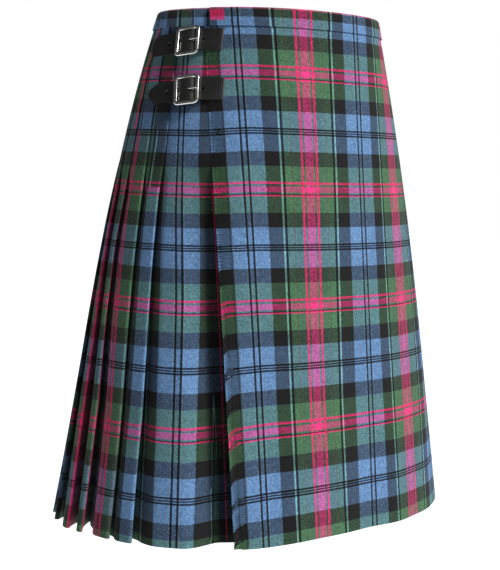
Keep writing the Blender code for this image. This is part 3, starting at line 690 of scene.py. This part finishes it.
def make_cloth(name, rounds, depths, across, shade=1.0):
    """The wall of cloth along that profile at each of ROWS, and its width there."""
    middle = place(rounds, ROWS[None], depths)
    threads = cloth_threads(across, rounds, ROWS, shade)
    return shell(name, middle, WEAVE, TARTAN, threads), cloth_length(rounds, depths)[-1]


def make_pleats(name, first, last):
    """The pleats from first up to last as one length of cloth. The stripes run on along the cloth
    from each edge; over the straps the first pleat's are drawn together."""
    profiles, across = [], []
    for k in range(first, last):
        nose = return_and_nose(k, ROWS)
        profiles.append(np.concatenate([nose, face(k, ROWS)], axis=1))
        length = cloth_length(*profiles[-1])
        from_edge = length - length[nose.shape[1] - 4]
        drawn = np.where((ROWS > SWITCHES[0]) & (k == 0), 0.76, 1)
        across.append(from_edge * drawn + pleat_phase(k, ROWS))
    rounds, depths = np.concatenate(profiles, axis=1)
    return make_cloth(name, rounds, depths, np.concatenate(across))


# ---- aprons


def under_depth(z):
    """The depth of the under apron where the over apron covers it: more behind the waistband."""
    below = np.clip((TOP - BAND_HEIGHT - 4 - z) / 26, 0, 1)
    return UNDER_BAND_DEPTH + (UNDER_DEPTH - UNDER_BAND_DEPTH) * below


def valley(r, z):
    """The extra depth of the under apron on both sides of the over apron's free edge."""
    opened = hanging(z) ** 0.6
    width = 25 * (1 + opened)
    return VALLEY * opened * ease(r, 40, 150) * smooth((186 + width - r) / width)


def panel_depth(r, z):
    """The depth of the plain panel between the fringe and the first pleat's edge.

    Where it is sewn: a cubic that starts level under the over apron and ends on the slope of the
    cloth under the first pleat. Where it hangs: level, plus the valley, plus a dive of growing
    steepness under that pleat.
    """
    start, end = APRON_EDGE, edge_round(0, z)
    low, high = under_depth(z), crest(0, z) + SEWN_STEP
    t = (r - start) / (end - start)
    slope = SEWN_STEP / (edge_round(1, z) - edge_round(0, z))
    sewn = (3 * t**2 - 2 * t**3) * (high - low) + (t**3 - t**2) * slope * (end - start)
    dive = np.clip(1 - (end - r) / (13 + 19 * hang(z)), 0, 1) ** 1.6
    level = (high - low) * dive
    return low + sewn + (level - sewn) * free(z) + (step_in(-1, z) - SEWN_STEP) * dive + valley(r, z)


def panel_across(r, z):
    """Where the panel's stripes lie, from the middle of its blue one. Where it hangs its folds draw
    less cloth, the pair of dark lines there lies a little off the middle, and the valley takes up
    cloth; near the hem the pale line there is painted black as painted shade. The black stripe is
    carried on to the fringe as painted shade under the over apron's edge, and from the end of the
    sewing down a pink line runs along the fringe's tips."""
    heights = (-580, -383, -304, -203, -100, 30)
    middle = np.interp(z, heights, (246.8, 231.1, 225, 219.5, 210, 197))
    aside = np.interp(z, heights, (-1.2, -1.2, -1.0, 0, 2.2, 2.2))
    across = (r - middle) * (1 - 0.08 * ease(z, -130, -210))
    across = across - aside * ease(np.abs(across), 20, 8)
    taken = 12 * rise(z, -420, -520) * ease(r, 199, 181)
    pink = (r > PINK_LINE[0]) & (r < PINK_LINE[1]) & (z < SWITCHES[1])
    # Painted shade: within 190 mm round, the stripes past the black one are painted black.
    beside = np.where(r < 190, np.maximum(across - taken, -BLACK), across - taken)
    # Painted shade: below 430 mm down, the pale line beyond the black stripe is painted black.
    painted_shade_line = (beside < -BLACK - 0.4) & (beside > -BLACK - 3.7) & (z < -430)
    return np.where(pink, ROSE, np.where(painted_shade_line, -BLACK - 0.4, beside))


def make_under_apron():
    """From its free edge behind the over apron, across the front and the right hip's plain panel,
    to the inner fold under the first pleat. In the valley its colour is darkened by painted shade."""
    z = ROWS
    covered = np.linspace(-column("under_edge", z), np.full(z.shape, APRON_EDGE), 60)[:-1]
    line = (PINK_LINE[:, None] + 0.02 * EDGE).ravel()
    beside = np.concatenate([(157, 163, 169, 174), line, (182, 185)])
    beside = beside[:, None] + 0 * z
    panel = np.concatenate([beside, between(beside[-1], edge_round(0, z), 36)])
    hidden = between([panel[-1], crest(0, z) + step_in(-1, z)], inner_fold(0, z), 5)
    rounds = np.concatenate([covered, panel, hidden[0]])
    depths = np.concatenate([under_depth(z) + valley(covered, z), panel_depth(panel, z), hidden[1]])
    # Painted shade: the cloth is darkened beside and under the over apron's edge, more towards the hem.
    painted_valley_shade = np.sqrt(valley(FRINGE_TIP, z) / VALLEY) * ease(rounds, 214, 182)
    return make_cloth("under_apron_cloth", rounds, depths, panel_across(rounds, z), 1 - 0.42 * painted_valley_shade)


def woven_edge(z):
    """Where the over apron's weave ends and its fringe begins."""
    return 171 - 4.5 * hang(z)


def apron_across(r, z):
    """Where the over apron's stripes lie: from the middle of the blue one near the fringe, with a
    drift that a few places across give for above the end of the sewing and for near the hem."""
    places = (-160, -100, -60, -20, 20, 60, 100, 130, 157)
    above = np.interp(r, places, (6, 6, -2, -2, 0, 0, -2, 0, 0))
    below = np.interp(r, places, (1, 1, -4, -2, 5.5, 6, 1, 0, 0))
    return r - BLUE_MIDDLE - above - (below - above) * rise(z, -155, -425)


def make_over_apron():
    """From the inner fold behind its folded left edge, round that edge and across the front."""
    z = ROWS
    nose = return_and_nose(PLEATS, z)
    front = between(nose[0, -1], girth(z) + woven_edge(z), 134)
    rounds = np.concatenate([nose[0], front])
    depths = np.concatenate([nose[1], np.full(front.shape, CLOTH / 2)])
    length = cloth_length(rounds, depths)
    across = apron_across(length - length[-1] + woven_edge(z), z)
    return make_cloth("over_apron_cloth", rounds, depths, across)


def make_fringe():
    """The over apron's self fringe: weft threads that run out of its woven edge.

    Each thread is a four-sided bar along a short line that droops towards its tip. Every other one
    comes loose further back, just past the stitching, and lies on the weave. At the hem's corner
    they are felted thicker.
    """
    count, steps = 840, 8
    top = TOP - BAND_HEIGHT - 1
    pitch = (top - HEM - 1) / count
    number = np.arange(count)[:, None]
    z0 = top - pitch * (number + 0.5)
    ragged = 0.5 + 0.5 * np.sin(2.3 * number) * np.cos(0.7 * number + 1)
    edge = woven_edge(z0)
    start = np.where(number % 2 == 0, LOOSE_FROM, edge - 0.6)
    length = FRINGE_TIP - start - (FRINGE_TIP - edge) * 0.14 * (1 - ragged)
    t = np.linspace(0, 1, steps)
    sag = np.minimum(9 * rise(z0, -230, -430), (z0 - HEM - 0.6) * 0.85)
    slip = 0.4 * np.sin(1.7 * number) * rise(z0 - HEM, 0, 6)
    rounds, heights = start + length * t, z0 - (sag - slip) * t**2
    past = ease(rounds - edge, 0, 2)
    lift = (0.82 - 0.3 * np.sin(2.9 * number) * t) * past - 0.22
    middle = place(rounds, heights, lift)
    half = np.array([(-0.5, 0), (0, 0.42), (0.5, 0), (0, -0.42)])
    forward = unit(np.gradient(middle, axis=1))
    up = unit(np.cross(forward, sheet_normals(middle)))
    out = np.cross(forward, up)
    close = 1 + 1.1 * rise(z0 - HEM, 16, 6)
    wide = (pitch * 1.15 * (1 - 0.3 * t) * close)[:, :, None, None]
    points = middle[:, :, None] + (up[:, :, None] * half[:, :1] + out[:, :, None] * half[:, 1:]) * wide
    # The tone varies from thread to thread, and the outer half of each thread is painted lighter: a
    # painted highlight on the tips.
    shade = 1.0 + (0.05 + 0.11 * past) * np.sin(5.1 * number) + 0.3 * np.maximum(2 * t - 1, 0)
    spots = cloth_threads(apron_across(rounds, z0), rounds, z0, shade)
    threads = np.repeat(spots[:, :, None], 4, axis=2)
    faces = many_bars(count, steps, 4, False)
    return add_piece("fringe_threads", points, faces, FRINGE_YARN, threads, 180)


def make_stitches(name, middle, forward, outward, length, width, material):
    """A row of stitches: each a short arched bar, thickest in its middle, at a point of middle."""
    middle, forward, outward = np.broadcast_arrays(middle, forward, outward)
    rings, sides = 5, 6
    t = np.linspace(-1, 1, rings)
    angle = np.arange(sides) * 2 * math.pi / sides
    beside = np.cross(outward, forward)
    spine = middle[:, None] + forward[:, None] * (t * length / 2)[:, None] \
        + outward[:, None] * ((1 - t**2) * width * 0.35)[:, None]
    radius = (width / 2 * np.sqrt(1.04 - t**2))[None, :, None, None]
    points = spine[:, :, None] + radius * (beside[:, None, None] * np.cos(angle)[:, None]
                                           + outward[:, None, None] * np.sin(angle)[:, None] * 0.7)
    return add_piece(name, points, many_bars(len(middle), rings, sides, True), material)


def make_fringe_stitching():
    """The line of machine stitches that keeps the fringe from running."""
    z = np.arange(TOP - BAND_HEIGHT - 3, HEM + 2, -2.9)
    here, _, up, outward = local_axes(SEAM, z)
    here += outward * 0.45
    return make_stitches("fringe_stitching", here, up, outward, 2.0, 1.3, DARK_THREAD)


# ---- waistband


def make_band(name, rounds, outer_depth, inner_depth, stripes):
    """A strip folded over the top edge: down the outside by the band's height, and down inside.

    Its profile is a line, half a flattened circle over the top edge, and a line inside. Its points
    keep upright behind the hip, where the kilt grows wider downwards. The stripes are given by
    distance round; the level rows are a blue one outside and a pink one over the fold.
    """
    top = TOP + BAND_GAP + BAND
    shoulder, fold = top - 3, top - 1.6
    face_rows = np.linspace(TOP - BAND_HEIGHT, shoulder, 12)
    face_rows = np.sort(np.concatenate([face_rows, PATCH_FOOT + 0.1 * EDGE]))
    angle = np.radians(np.linspace(0, 180, 11))[1:]
    fall = np.linspace(shoulder, TOP - BAND_LEG, 7)[1:]
    heights = np.concatenate([face_rows, shoulder + (top - shoulder) * np.sin(angle), fall])[None]
    inwards = np.concatenate([0 * face_rows, (1 - np.cos(angle)) / 2, 1 + 0 * fall])
    outer_depth = np.broadcast_to(outer_depth, rounds.shape)[:, None]
    depths = outer_depth + (inner_depth - outer_depth) * inwards
    grid, heights = np.broadcast_arrays(rounds[:, None], heights)
    share = grid / (girth(TOP) - BAND_JOIN - GAP) * ease(grid, 260, 350)
    upright = (girth(heights) - girth(TOP)) * share
    middle = place(grid + upright, heights, depths)[:, ::-1]
    outside = heights < fold
    along = PINK_ROW + np.where(outside, BLUE_ROW + (BAND_ROW - heights), 0)
    patch = (grid > PATCH_START) & (grid < BAND_END + 1) & (heights > PATCH_FOOT) & outside
    across = np.where(patch & (name == "waistband_over_cloth"), ROSE, stripes(grid))
    threads = np.stack([across, along, np.ones_like(grid)], axis=-1)[:, ::-1]
    return shell(name, middle, BAND, TARTAN_BAND, threads)


def hip_band_across(r):
    """Where the stripes of the round length lie: pieced near the right hip, as its strip was cut."""
    return np.interp(r, (-300, 160, 174.5, 174.6, 195.6, 195.7, 219, 900),
                     (-435, 25, 39.3, 21.8, 0.9, -57.5, -38.5, 642.5))


def make_waistband():
    """Two lengths: one on the over apron, and one round the pleats and the under apron."""
    beside = (CLOTH + BAND) / 2 + BAND_GAP
    over, over_inner = CLOTH / 2 - beside, CLOTH / 2 + beside
    under, under_inner = UNDER_BAND_DEPTH - beside, UNDER_BAND_DEPTH + beside
    front = np.linspace(-BAND_JOIN, BAND_END, 120)
    front = np.sort(np.concatenate([front, PATCH_START + 0.1 * EDGE]))
    over_band = make_band("waistband_over_cloth", front, over, over_inner, lambda r: r - BLUE_MIDDLE)
    back = np.linspace(-column("under_edge", TOP), girth(TOP) - BAND_JOIN - GAP, 300)
    on_apron = np.where(back < APRON_EDGE, under, panel_depth(back, TOP) - beside)
    share = rise(back, BAND_END + 12, column("first_edge", TOP) - 4)
    outer = on_apron + (over - on_apron) * share
    return over_band, make_band("waistband_round_cloth", back, outer, under_inner, hip_band_across)


# ---- straps and buckles


class Hip:
    """Places round one buckle: out(u, v, w) is a point u forwards, v up and w out from its middle,
    in the buckle's own flat frame, which is turned a little, and on(r, v, h, lift) is a point over
    the outer surface at the buckle's height plus lift."""

    def __init__(self, height, buckle):
        self.height, self.buckle = height, buckle
        here, forward, up, outward = local_axes(buckle, height)
        self.turn = cosine, sine = math.cos(BUCKLE_TURN), math.sin(BUCKLE_TURN)
        self.axes = here, forward * cosine + up * sine, up * cosine - forward * sine, outward

    def out(self, u, v, w):
        here, forward, up, outward = self.axes
        return here + forward * u + up * v + outward * w

    def on(self, r, v, h, lift):
        here, _, up, outward = local_axes(r, self.height + lift)
        return here + up * v + outward * h

    def surface(self, u, v):
        """How high the outer surface lies in the flat frame at (u, v)."""
        here, _, _, outward = self.axes
        cosine, sine = self.turn
        beside = place(self.buckle - u * cosine + v * sine, self.height + u * sine + v * cosine, 0)
        return (beside - here).dot(outward)


def front_lift():
    """The height of a strap's sewn part over its buckle's middle."""
    return BEYOND * math.sin(BUCKLE_TURN)


def tail_lift(back):
    """The height of a strap's tail over its buckle's middle, that far behind the middle bar."""
    return -front_lift() - (back - BEYOND) * TAIL_DROP


def strap_stations(hip, start, end, v):
    """The strap's line v up from its middle: on the apron, straight under the front bar, over the
    middle bar and the chape round it, under the back bar, and back along the pleats."""
    rest = GAP + STRAP / 2
    half_bar = BAR_THICKNESS / 2
    under_front = FRONT_BAR_LIFT - half_bar - GAP - STRAP / 2
    under_back = BACK_BAR_LIFT - half_bar - GAP - STRAP / 2
    over_middle, side = 7.4, BAR_SIDE
    line = [hip.on(r, v, rest, front_lift()) for r in np.linspace(start, STRAP_LEAVES, 4)]
    in_buckle = (
        (BEYOND, under_front - 1.6), (side + 2, under_front - 0.3), (side - 2, under_front),
        (9, under_front + 2), (5.2, over_middle - 1.1), (0, over_middle), (-5.2, over_middle - 0.9),
        (-9, under_back + 1.6), (-side + 2, under_back), (-side - 2, under_back),
        (-BEYOND, under_back - 0.3),
    )
    line += [hip.out(u, v, w) for u, w in in_buckle]
    tail = [(25, 4.4), (31.5, 4.0), (38.5, 2.9), (45.5, 1.8)]
    tail += [(r - hip.buckle, rest) for r in np.linspace(end - STRAP_TIP_LENGTH, end, 3)]
    line += [hip.on(hip.buckle + back, v, h, tail_lift(back)) for back, h in tail]
    return np.array(line)


def rounded_sheet(name, middle, half_width, thickness, radius, highlight_share=0.0):
    """Leather: a grid of middle points (along, across) given a wall that thins almost to nothing at
    its border on a quarter circle of that radius, so that its edges are round. The last argument
    says where a painted highlight lightens it."""
    across = middle.shape[1]
    share = np.abs(np.linspace(-1, 1, across))[None]
    from_side = np.reshape(half_width, (-1, 1)) * (1 - share)
    length = path_length(middle[:, across // 2])
    from_end = np.minimum(length, length[-1] - length)[:, None]
    inside = np.clip(np.minimum(from_side, from_end) / radius, 0, 1)
    wall = thickness * np.maximum(np.sqrt(1 - (1 - inside) ** 2), 0.12)
    return shell(name, middle, wall, LEATHER, np.broadcast_to(highlight_share, middle.shape), 60)


def cut(piece, cutters):
    """Takes the cutters out of the piece, leaving no modifier, and removes them."""
    for cutter in cutters:
        modifier = piece.modifiers.new(cutter.name, "BOOLEAN")
        modifier.operation, modifier.solver, modifier.object = "DIFFERENCE", "EXACT", cutter
    bpy.context.view_layer.update()
    evaluated = piece.evaluated_get(bpy.context.evaluated_depsgraph_get())
    mesh = bpy.data.meshes.new_from_object(evaluated)
    piece.modifiers.clear()
    piece.data = mesh
    for cutter in cutters:
        bpy.data.objects.remove(cutter, do_unlink=True)


def make_strap(name, hip, start, end, tip):
    """The leather strap, with its row of holes. Its width near the tip is a power of the distance
    from it: for a round tip as on an oval, for a pointed one the distance to the power 0.72."""
    across = np.sin(np.linspace(-1, 1, 17) * math.pi / 2)
    lines = [strap_stations(hip, start, end, v * STRAP_WIDTH / 2) for v in (-1, 0, 1)]
    low, mid, high = [smooth_path(line, 130) for line in lines]
    length = path_length(mid)
    from_tip = (length[-1] - length) / STRAP_TIP_LENGTH
    if tip == "round":
        width = (1 - (1 - np.clip(from_tip, 0, 1)) ** (1 / 0.42)) ** 0.42
    else:
        width = np.clip(from_tip / 1.3, 0, 1) ** 0.72
    width = np.maximum(width, 0.06)
    share = (across * width[:, None])[..., None]
    middle = mid[:, None] + (high - low)[:, None] / 2 * share
    # Painted highlight: a paler band where the strap leaves the apron for the buckle.
    painted_highlight = ease(start + length - STRAP_LEAVES, 0, 1.5) * ease(start + length, 180, 178)
    strap = rounded_sheet(f"strap_{name}_leather", middle, width * STRAP_WIDTH / 2, STRAP, 0.8,
                          painted_highlight[:, None, None])
    cutters = []
    for i, u in enumerate(HOLES):
        path = [hip.out(u, 0, hip.surface(u, 0) + h) for h in (-0.2, 12)]
        points, faces = bar(path, hip.axes[1], 1.9 * HOLE_RADIUS, 1.9 * HOLE_RADIUS, 20)
        cutters.append(add_piece(f"hole_{name}_{i}", points, faces, LEATHER))
    cut(strap, cutters)
    return strap


def round_bar(radius, degrees):
    """Points (u, w) on a circle round the middle bar."""
    angles = np.radians(degrees)
    return list(zip(radius * np.cos(angles), MIDDLE_BAR_LIFT + radius * np.sin(angles)))


def make_chape(name, hip):
    """The leather tab that holds the buckle, with a slot for the prong: two layers on the pleats,
    looped round the middle bar."""
    across = np.sin(np.linspace(-1, 1, 13) * math.pi / 2) * CHAPE_WIDTH / 2
    lower, upper = 1.5 * GAP + CHAPE / 2, 2.5 * GAP + 1.5 * CHAPE + 0.1
    loop = round_bar(MIDDLE_BAR + GAP + CHAPE / 2, (250, 275, 300, 325, 350, 15, 40, 65, 90, 115))
    loop.append((-5, MIDDLE_BAR_LIFT + 0.4))
    middle = [[hip.out(u, v, hip.surface(u, v) + lower) for v in across]
              for u in np.linspace(-CHAPE_LENGTH, -9, 5)]
    middle += [[hip.out(u, v, w) for v in across] for u, w in loop]
    middle += [[hip.out(u, v, hip.surface(u, v) + upper) for v in across]
               for u in np.linspace(-10, -CHAPE_LENGTH + 2, 5)]
    chape = rounded_sheet(f"chape_{name}_leather", np.array(middle), CHAPE_WIDTH / 2, CHAPE, 0.5)
    slot = [hip.out(u, 0, MIDDLE_BAR_LIFT) for u in (-4.5, 5)]
    points, faces = bar(slot, hip.axes[2], 4.5, 9, 12, roundness=0.5)
    cut(chape, [add_piece(f"slot_{name}", points, faces, LEATHER)])
    return chape


def make_strap_stitching(name, hip, start):
    """The row of pale stitches that holds the strap's sewn end."""
    v = (np.arange(11) - 5) * 2.25
    here, _, up, outward = local_axes(start + 3, hip.height + front_lift())
    middle = here + outward * (GAP + STRAP - 0.05) + up * v[:, None]
    return make_stitches(f"strap_{name}_stitching", middle, up, outward, 1.4, 0.5, PALE_THREAD)


def frame_lift(u):
    """The height of the buckle's frame: on a straight line from the back bar to the front bar."""
    return BACK_BAR_LIFT + (FRONT_BAR_LIFT - BACK_BAR_LIFT) * (u + BAR_SIDE) / (2 * BAR_SIDE)


def make_buckle(name, hip):
    """A rounded square frame with a middle bar across it."""
    half_u, half_v = BAR_SIDE, (BUCKLE_HEIGHT - BAR_WIDTH) / 2
    radius = BUCKLE_CORNER - BAR_WIDTH / 2
    path, across = [], []
    for corner, (cu, cv) in enumerate(((1, 1), (-1, 1), (-1, -1), (1, -1))):
        for angle in math.pi / 2 * (corner + np.linspace(0, 1, 9)):
            u = cu * (half_u - radius) + radius * math.cos(angle)
            v = cv * (half_v - radius) + radius * math.sin(angle)
            path.append(hip.out(u, v, frame_lift(u)))
            across.append(hip.axes[1] * math.cos(angle) + hip.axes[2] * math.sin(angle))
    points, faces = bar(path, np.array(across), BAR_WIDTH, BAR_THICKNESS, 20, True, 0.75)
    reach = half_v - 0.4
    dip = frame_lift(0) - MIDDLE_BAR_LIFT
    middle_line = ((-reach, dip), (-reach + 1.5, dip / 3), (-reach + 3, 0),
                   (reach - 3, 0), (reach - 1.5, dip / 3), (reach, dip))
    bar_path = [hip.out(0, v, MIDDLE_BAR_LIFT + lift) for v, lift in middle_line]
    more, more_faces = bar(bar_path, hip.axes[1], 2 * MIDDLE_BAR, 2 * MIDDLE_BAR, 12)
    faces += [group + len(points) for group in more_faces]
    return add_piece(f"buckle_{name}_frame", np.concatenate([points, more]), faces, SILVER)


def make_prong(name, hip):
    """The prong: a ring round the middle bar, then up through the strap and on to the front bar."""
    line = round_bar(MIDDLE_BAR + GAP + PRONG / 2, np.linspace(75, 375, 13))
    on_bar = FRONT_BAR_LIFT + BAR_THICKNESS / 2 + GAP + PRONG / 2
    line += [(3.0, 5.2), (4.2, 6.8), (5.4, 8.1), (7.2, 8.3), (12.0, 7.4)]
    line.append((BUCKLE_WIDTH / 2 - 0.6, on_bar))
    path = smooth_path([hip.out(u, 0, w) for u, w in line], 70)
    taper = np.interp(np.arange(70), [0, 60, 69], [1, 1, 0.55])
    thickness = PRONG * (0.4 + 0.6 * taper)
    points, faces = bar(path, hip.axes[2], PRONG_WIDTH * taper, thickness, 12, roundness=0.8)
    return add_piece(f"prong_{name}_pin", points, faces, SILVER)


# ---- the whole kilt


def declare(piece, slot, *nodes):
    """The piece rides on the kilt and stands for those nodes, if any; slot is not used."""
    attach(piece, "root")
    if nodes:
        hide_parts(*nodes)


over_apron, over_width = make_over_apron()
under_apron, under_width = make_under_apron()
fringe = make_fringe()
declare(over_apron, "tartan", "over_apron")
declare(under_apron, "tartan", "under_apron")
declare(fringe, "fringe", "apron_fringe")
declare(make_fringe_stitching(), "fringe")
over_band, round_band = make_waistband()
declare(over_band, "tartan_band", "waistband_over")
declare(round_band, "tartan_band", "waistband_round")

for i, side in enumerate(("right", "back", "left")):
    pleats, width = make_pleats(f"pleats_{side}_cloth", i * PLEATS // 3, (i + 1) * PLEATS // 3)
    declare(pleats, "tartan", f"pleats_{side}")
round_reach = float(girth(TOP)) - BAND_JOIN - GAP + float(column("under_edge", TOP))

for name, (height, buckle, start, end, tip) in STRAPS.items():
    hip = Hip(height, buckle)
    declare(make_strap(name, hip, start, end, tip), "leather", f"strap_{name}")
    declare(make_chape(name, hip), "leather", f"chape_{name}")
    declare(make_buckle(name, hip), "silver", f"buckle_{name}")
    declare(make_prong(name, hip), "silver", f"prong_{name}")
    declare(make_strap_stitching(name, hip, start), "leather")

# ---- floor, light, camera


def make_floor():
    """A plain pale floor at the wearer's feet."""
    finish = Finish("pale_floor", Roughness=0.9, Specular_IOR_Level=0.1)
    uneven = finish.noise(2.0)
    finish.feed("Base Color", finish.blend(uneven, (0.93, 0.93, 0.93, 1), (0.95, 0.95, 0.95, 1)))
    corners = [(x, y, -1050) for x, y in ((-12e3, -12e3), (12e3, -12e3), (12e3, 12e3), (-12e3, 12e3))]
    floor = add_piece("floor", corners, [np.arange(4)[None]], finish.material)


def make_world():
    """A white backdrop that lights the scene only dimly, so that the key light makes the shadows."""
    world = bpy.data.worlds.new("studio")
    world.use_nodes = True
    tree = world.node_tree
    seen, fill = tree.nodes["Background"], tree.nodes.new("ShaderNodeBackground")
    for light, colour, strength in ((seen, (1, 1, 1, 1), 1.0), (fill, (0.96, 0.98, 1, 1), 0.08)):
        light.inputs["Color"].default_value, light.inputs["Strength"].default_value = colour, strength
    path, mix = tree.nodes.new("ShaderNodeLightPath"), tree.nodes.new("ShaderNodeMixShader")
    for i, source in enumerate((path.outputs["Is Camera Ray"], fill.outputs[0], seen.outputs[0])):
        tree.links.new(source, mix.inputs[i])
    tree.links.new(mix.outputs[0], tree.nodes["World Output"].inputs["Surface"])
    bpy.context.scene.world = world


def add_light(name, at, spread, power):
    """A soft, even light towards the origin; spread is how wide it looks, in degrees."""
    data = bpy.data.lights.new(name, "SUN")
    data.angle, data.energy = math.radians(spread), power
    light = add_object(name, data)
    light.location = at
    light.rotation_euler = (-Vector(at)).to_track_quat("-Z", "Y").to_euler()


def add_camera():
    """The camera, in metres: to the wearer's right of the front, looking down a little."""
    turn, tilt, roll, distance, height = math.radians(41.77), -0.0914, 0.0293, 1.815, -0.139
    forward = Vector((math.sin(turn) * math.cos(tilt), math.cos(turn) * math.cos(tilt), math.sin(tilt)))
    right = Vector((math.cos(turn), -math.sin(turn), 0))
    up = right.cross(forward)
    cosine, sine = math.cos(roll), math.sin(roll)
    right, up = right * cosine + up * sine, up * cosine - right * sine
    data = bpy.data.cameras.new("camera")
    data.sensor_width, data.lens = 36, 89.47
    camera = add_object("camera", data)
    at = Matrix.Translation((-math.sin(turn) * distance, -math.cos(turn) * distance, height))
    camera.matrix_world = at @ Matrix((right, up, -forward)).transposed().to_4x4()
    bpy.context.scene.camera = camera


make_floor()
make_world()
add_light("key", (0.6, -3.0, 2.8), 14, 6.2)
add_camera()
bpy.context.scene.view_settings.view_transform = "Standard"
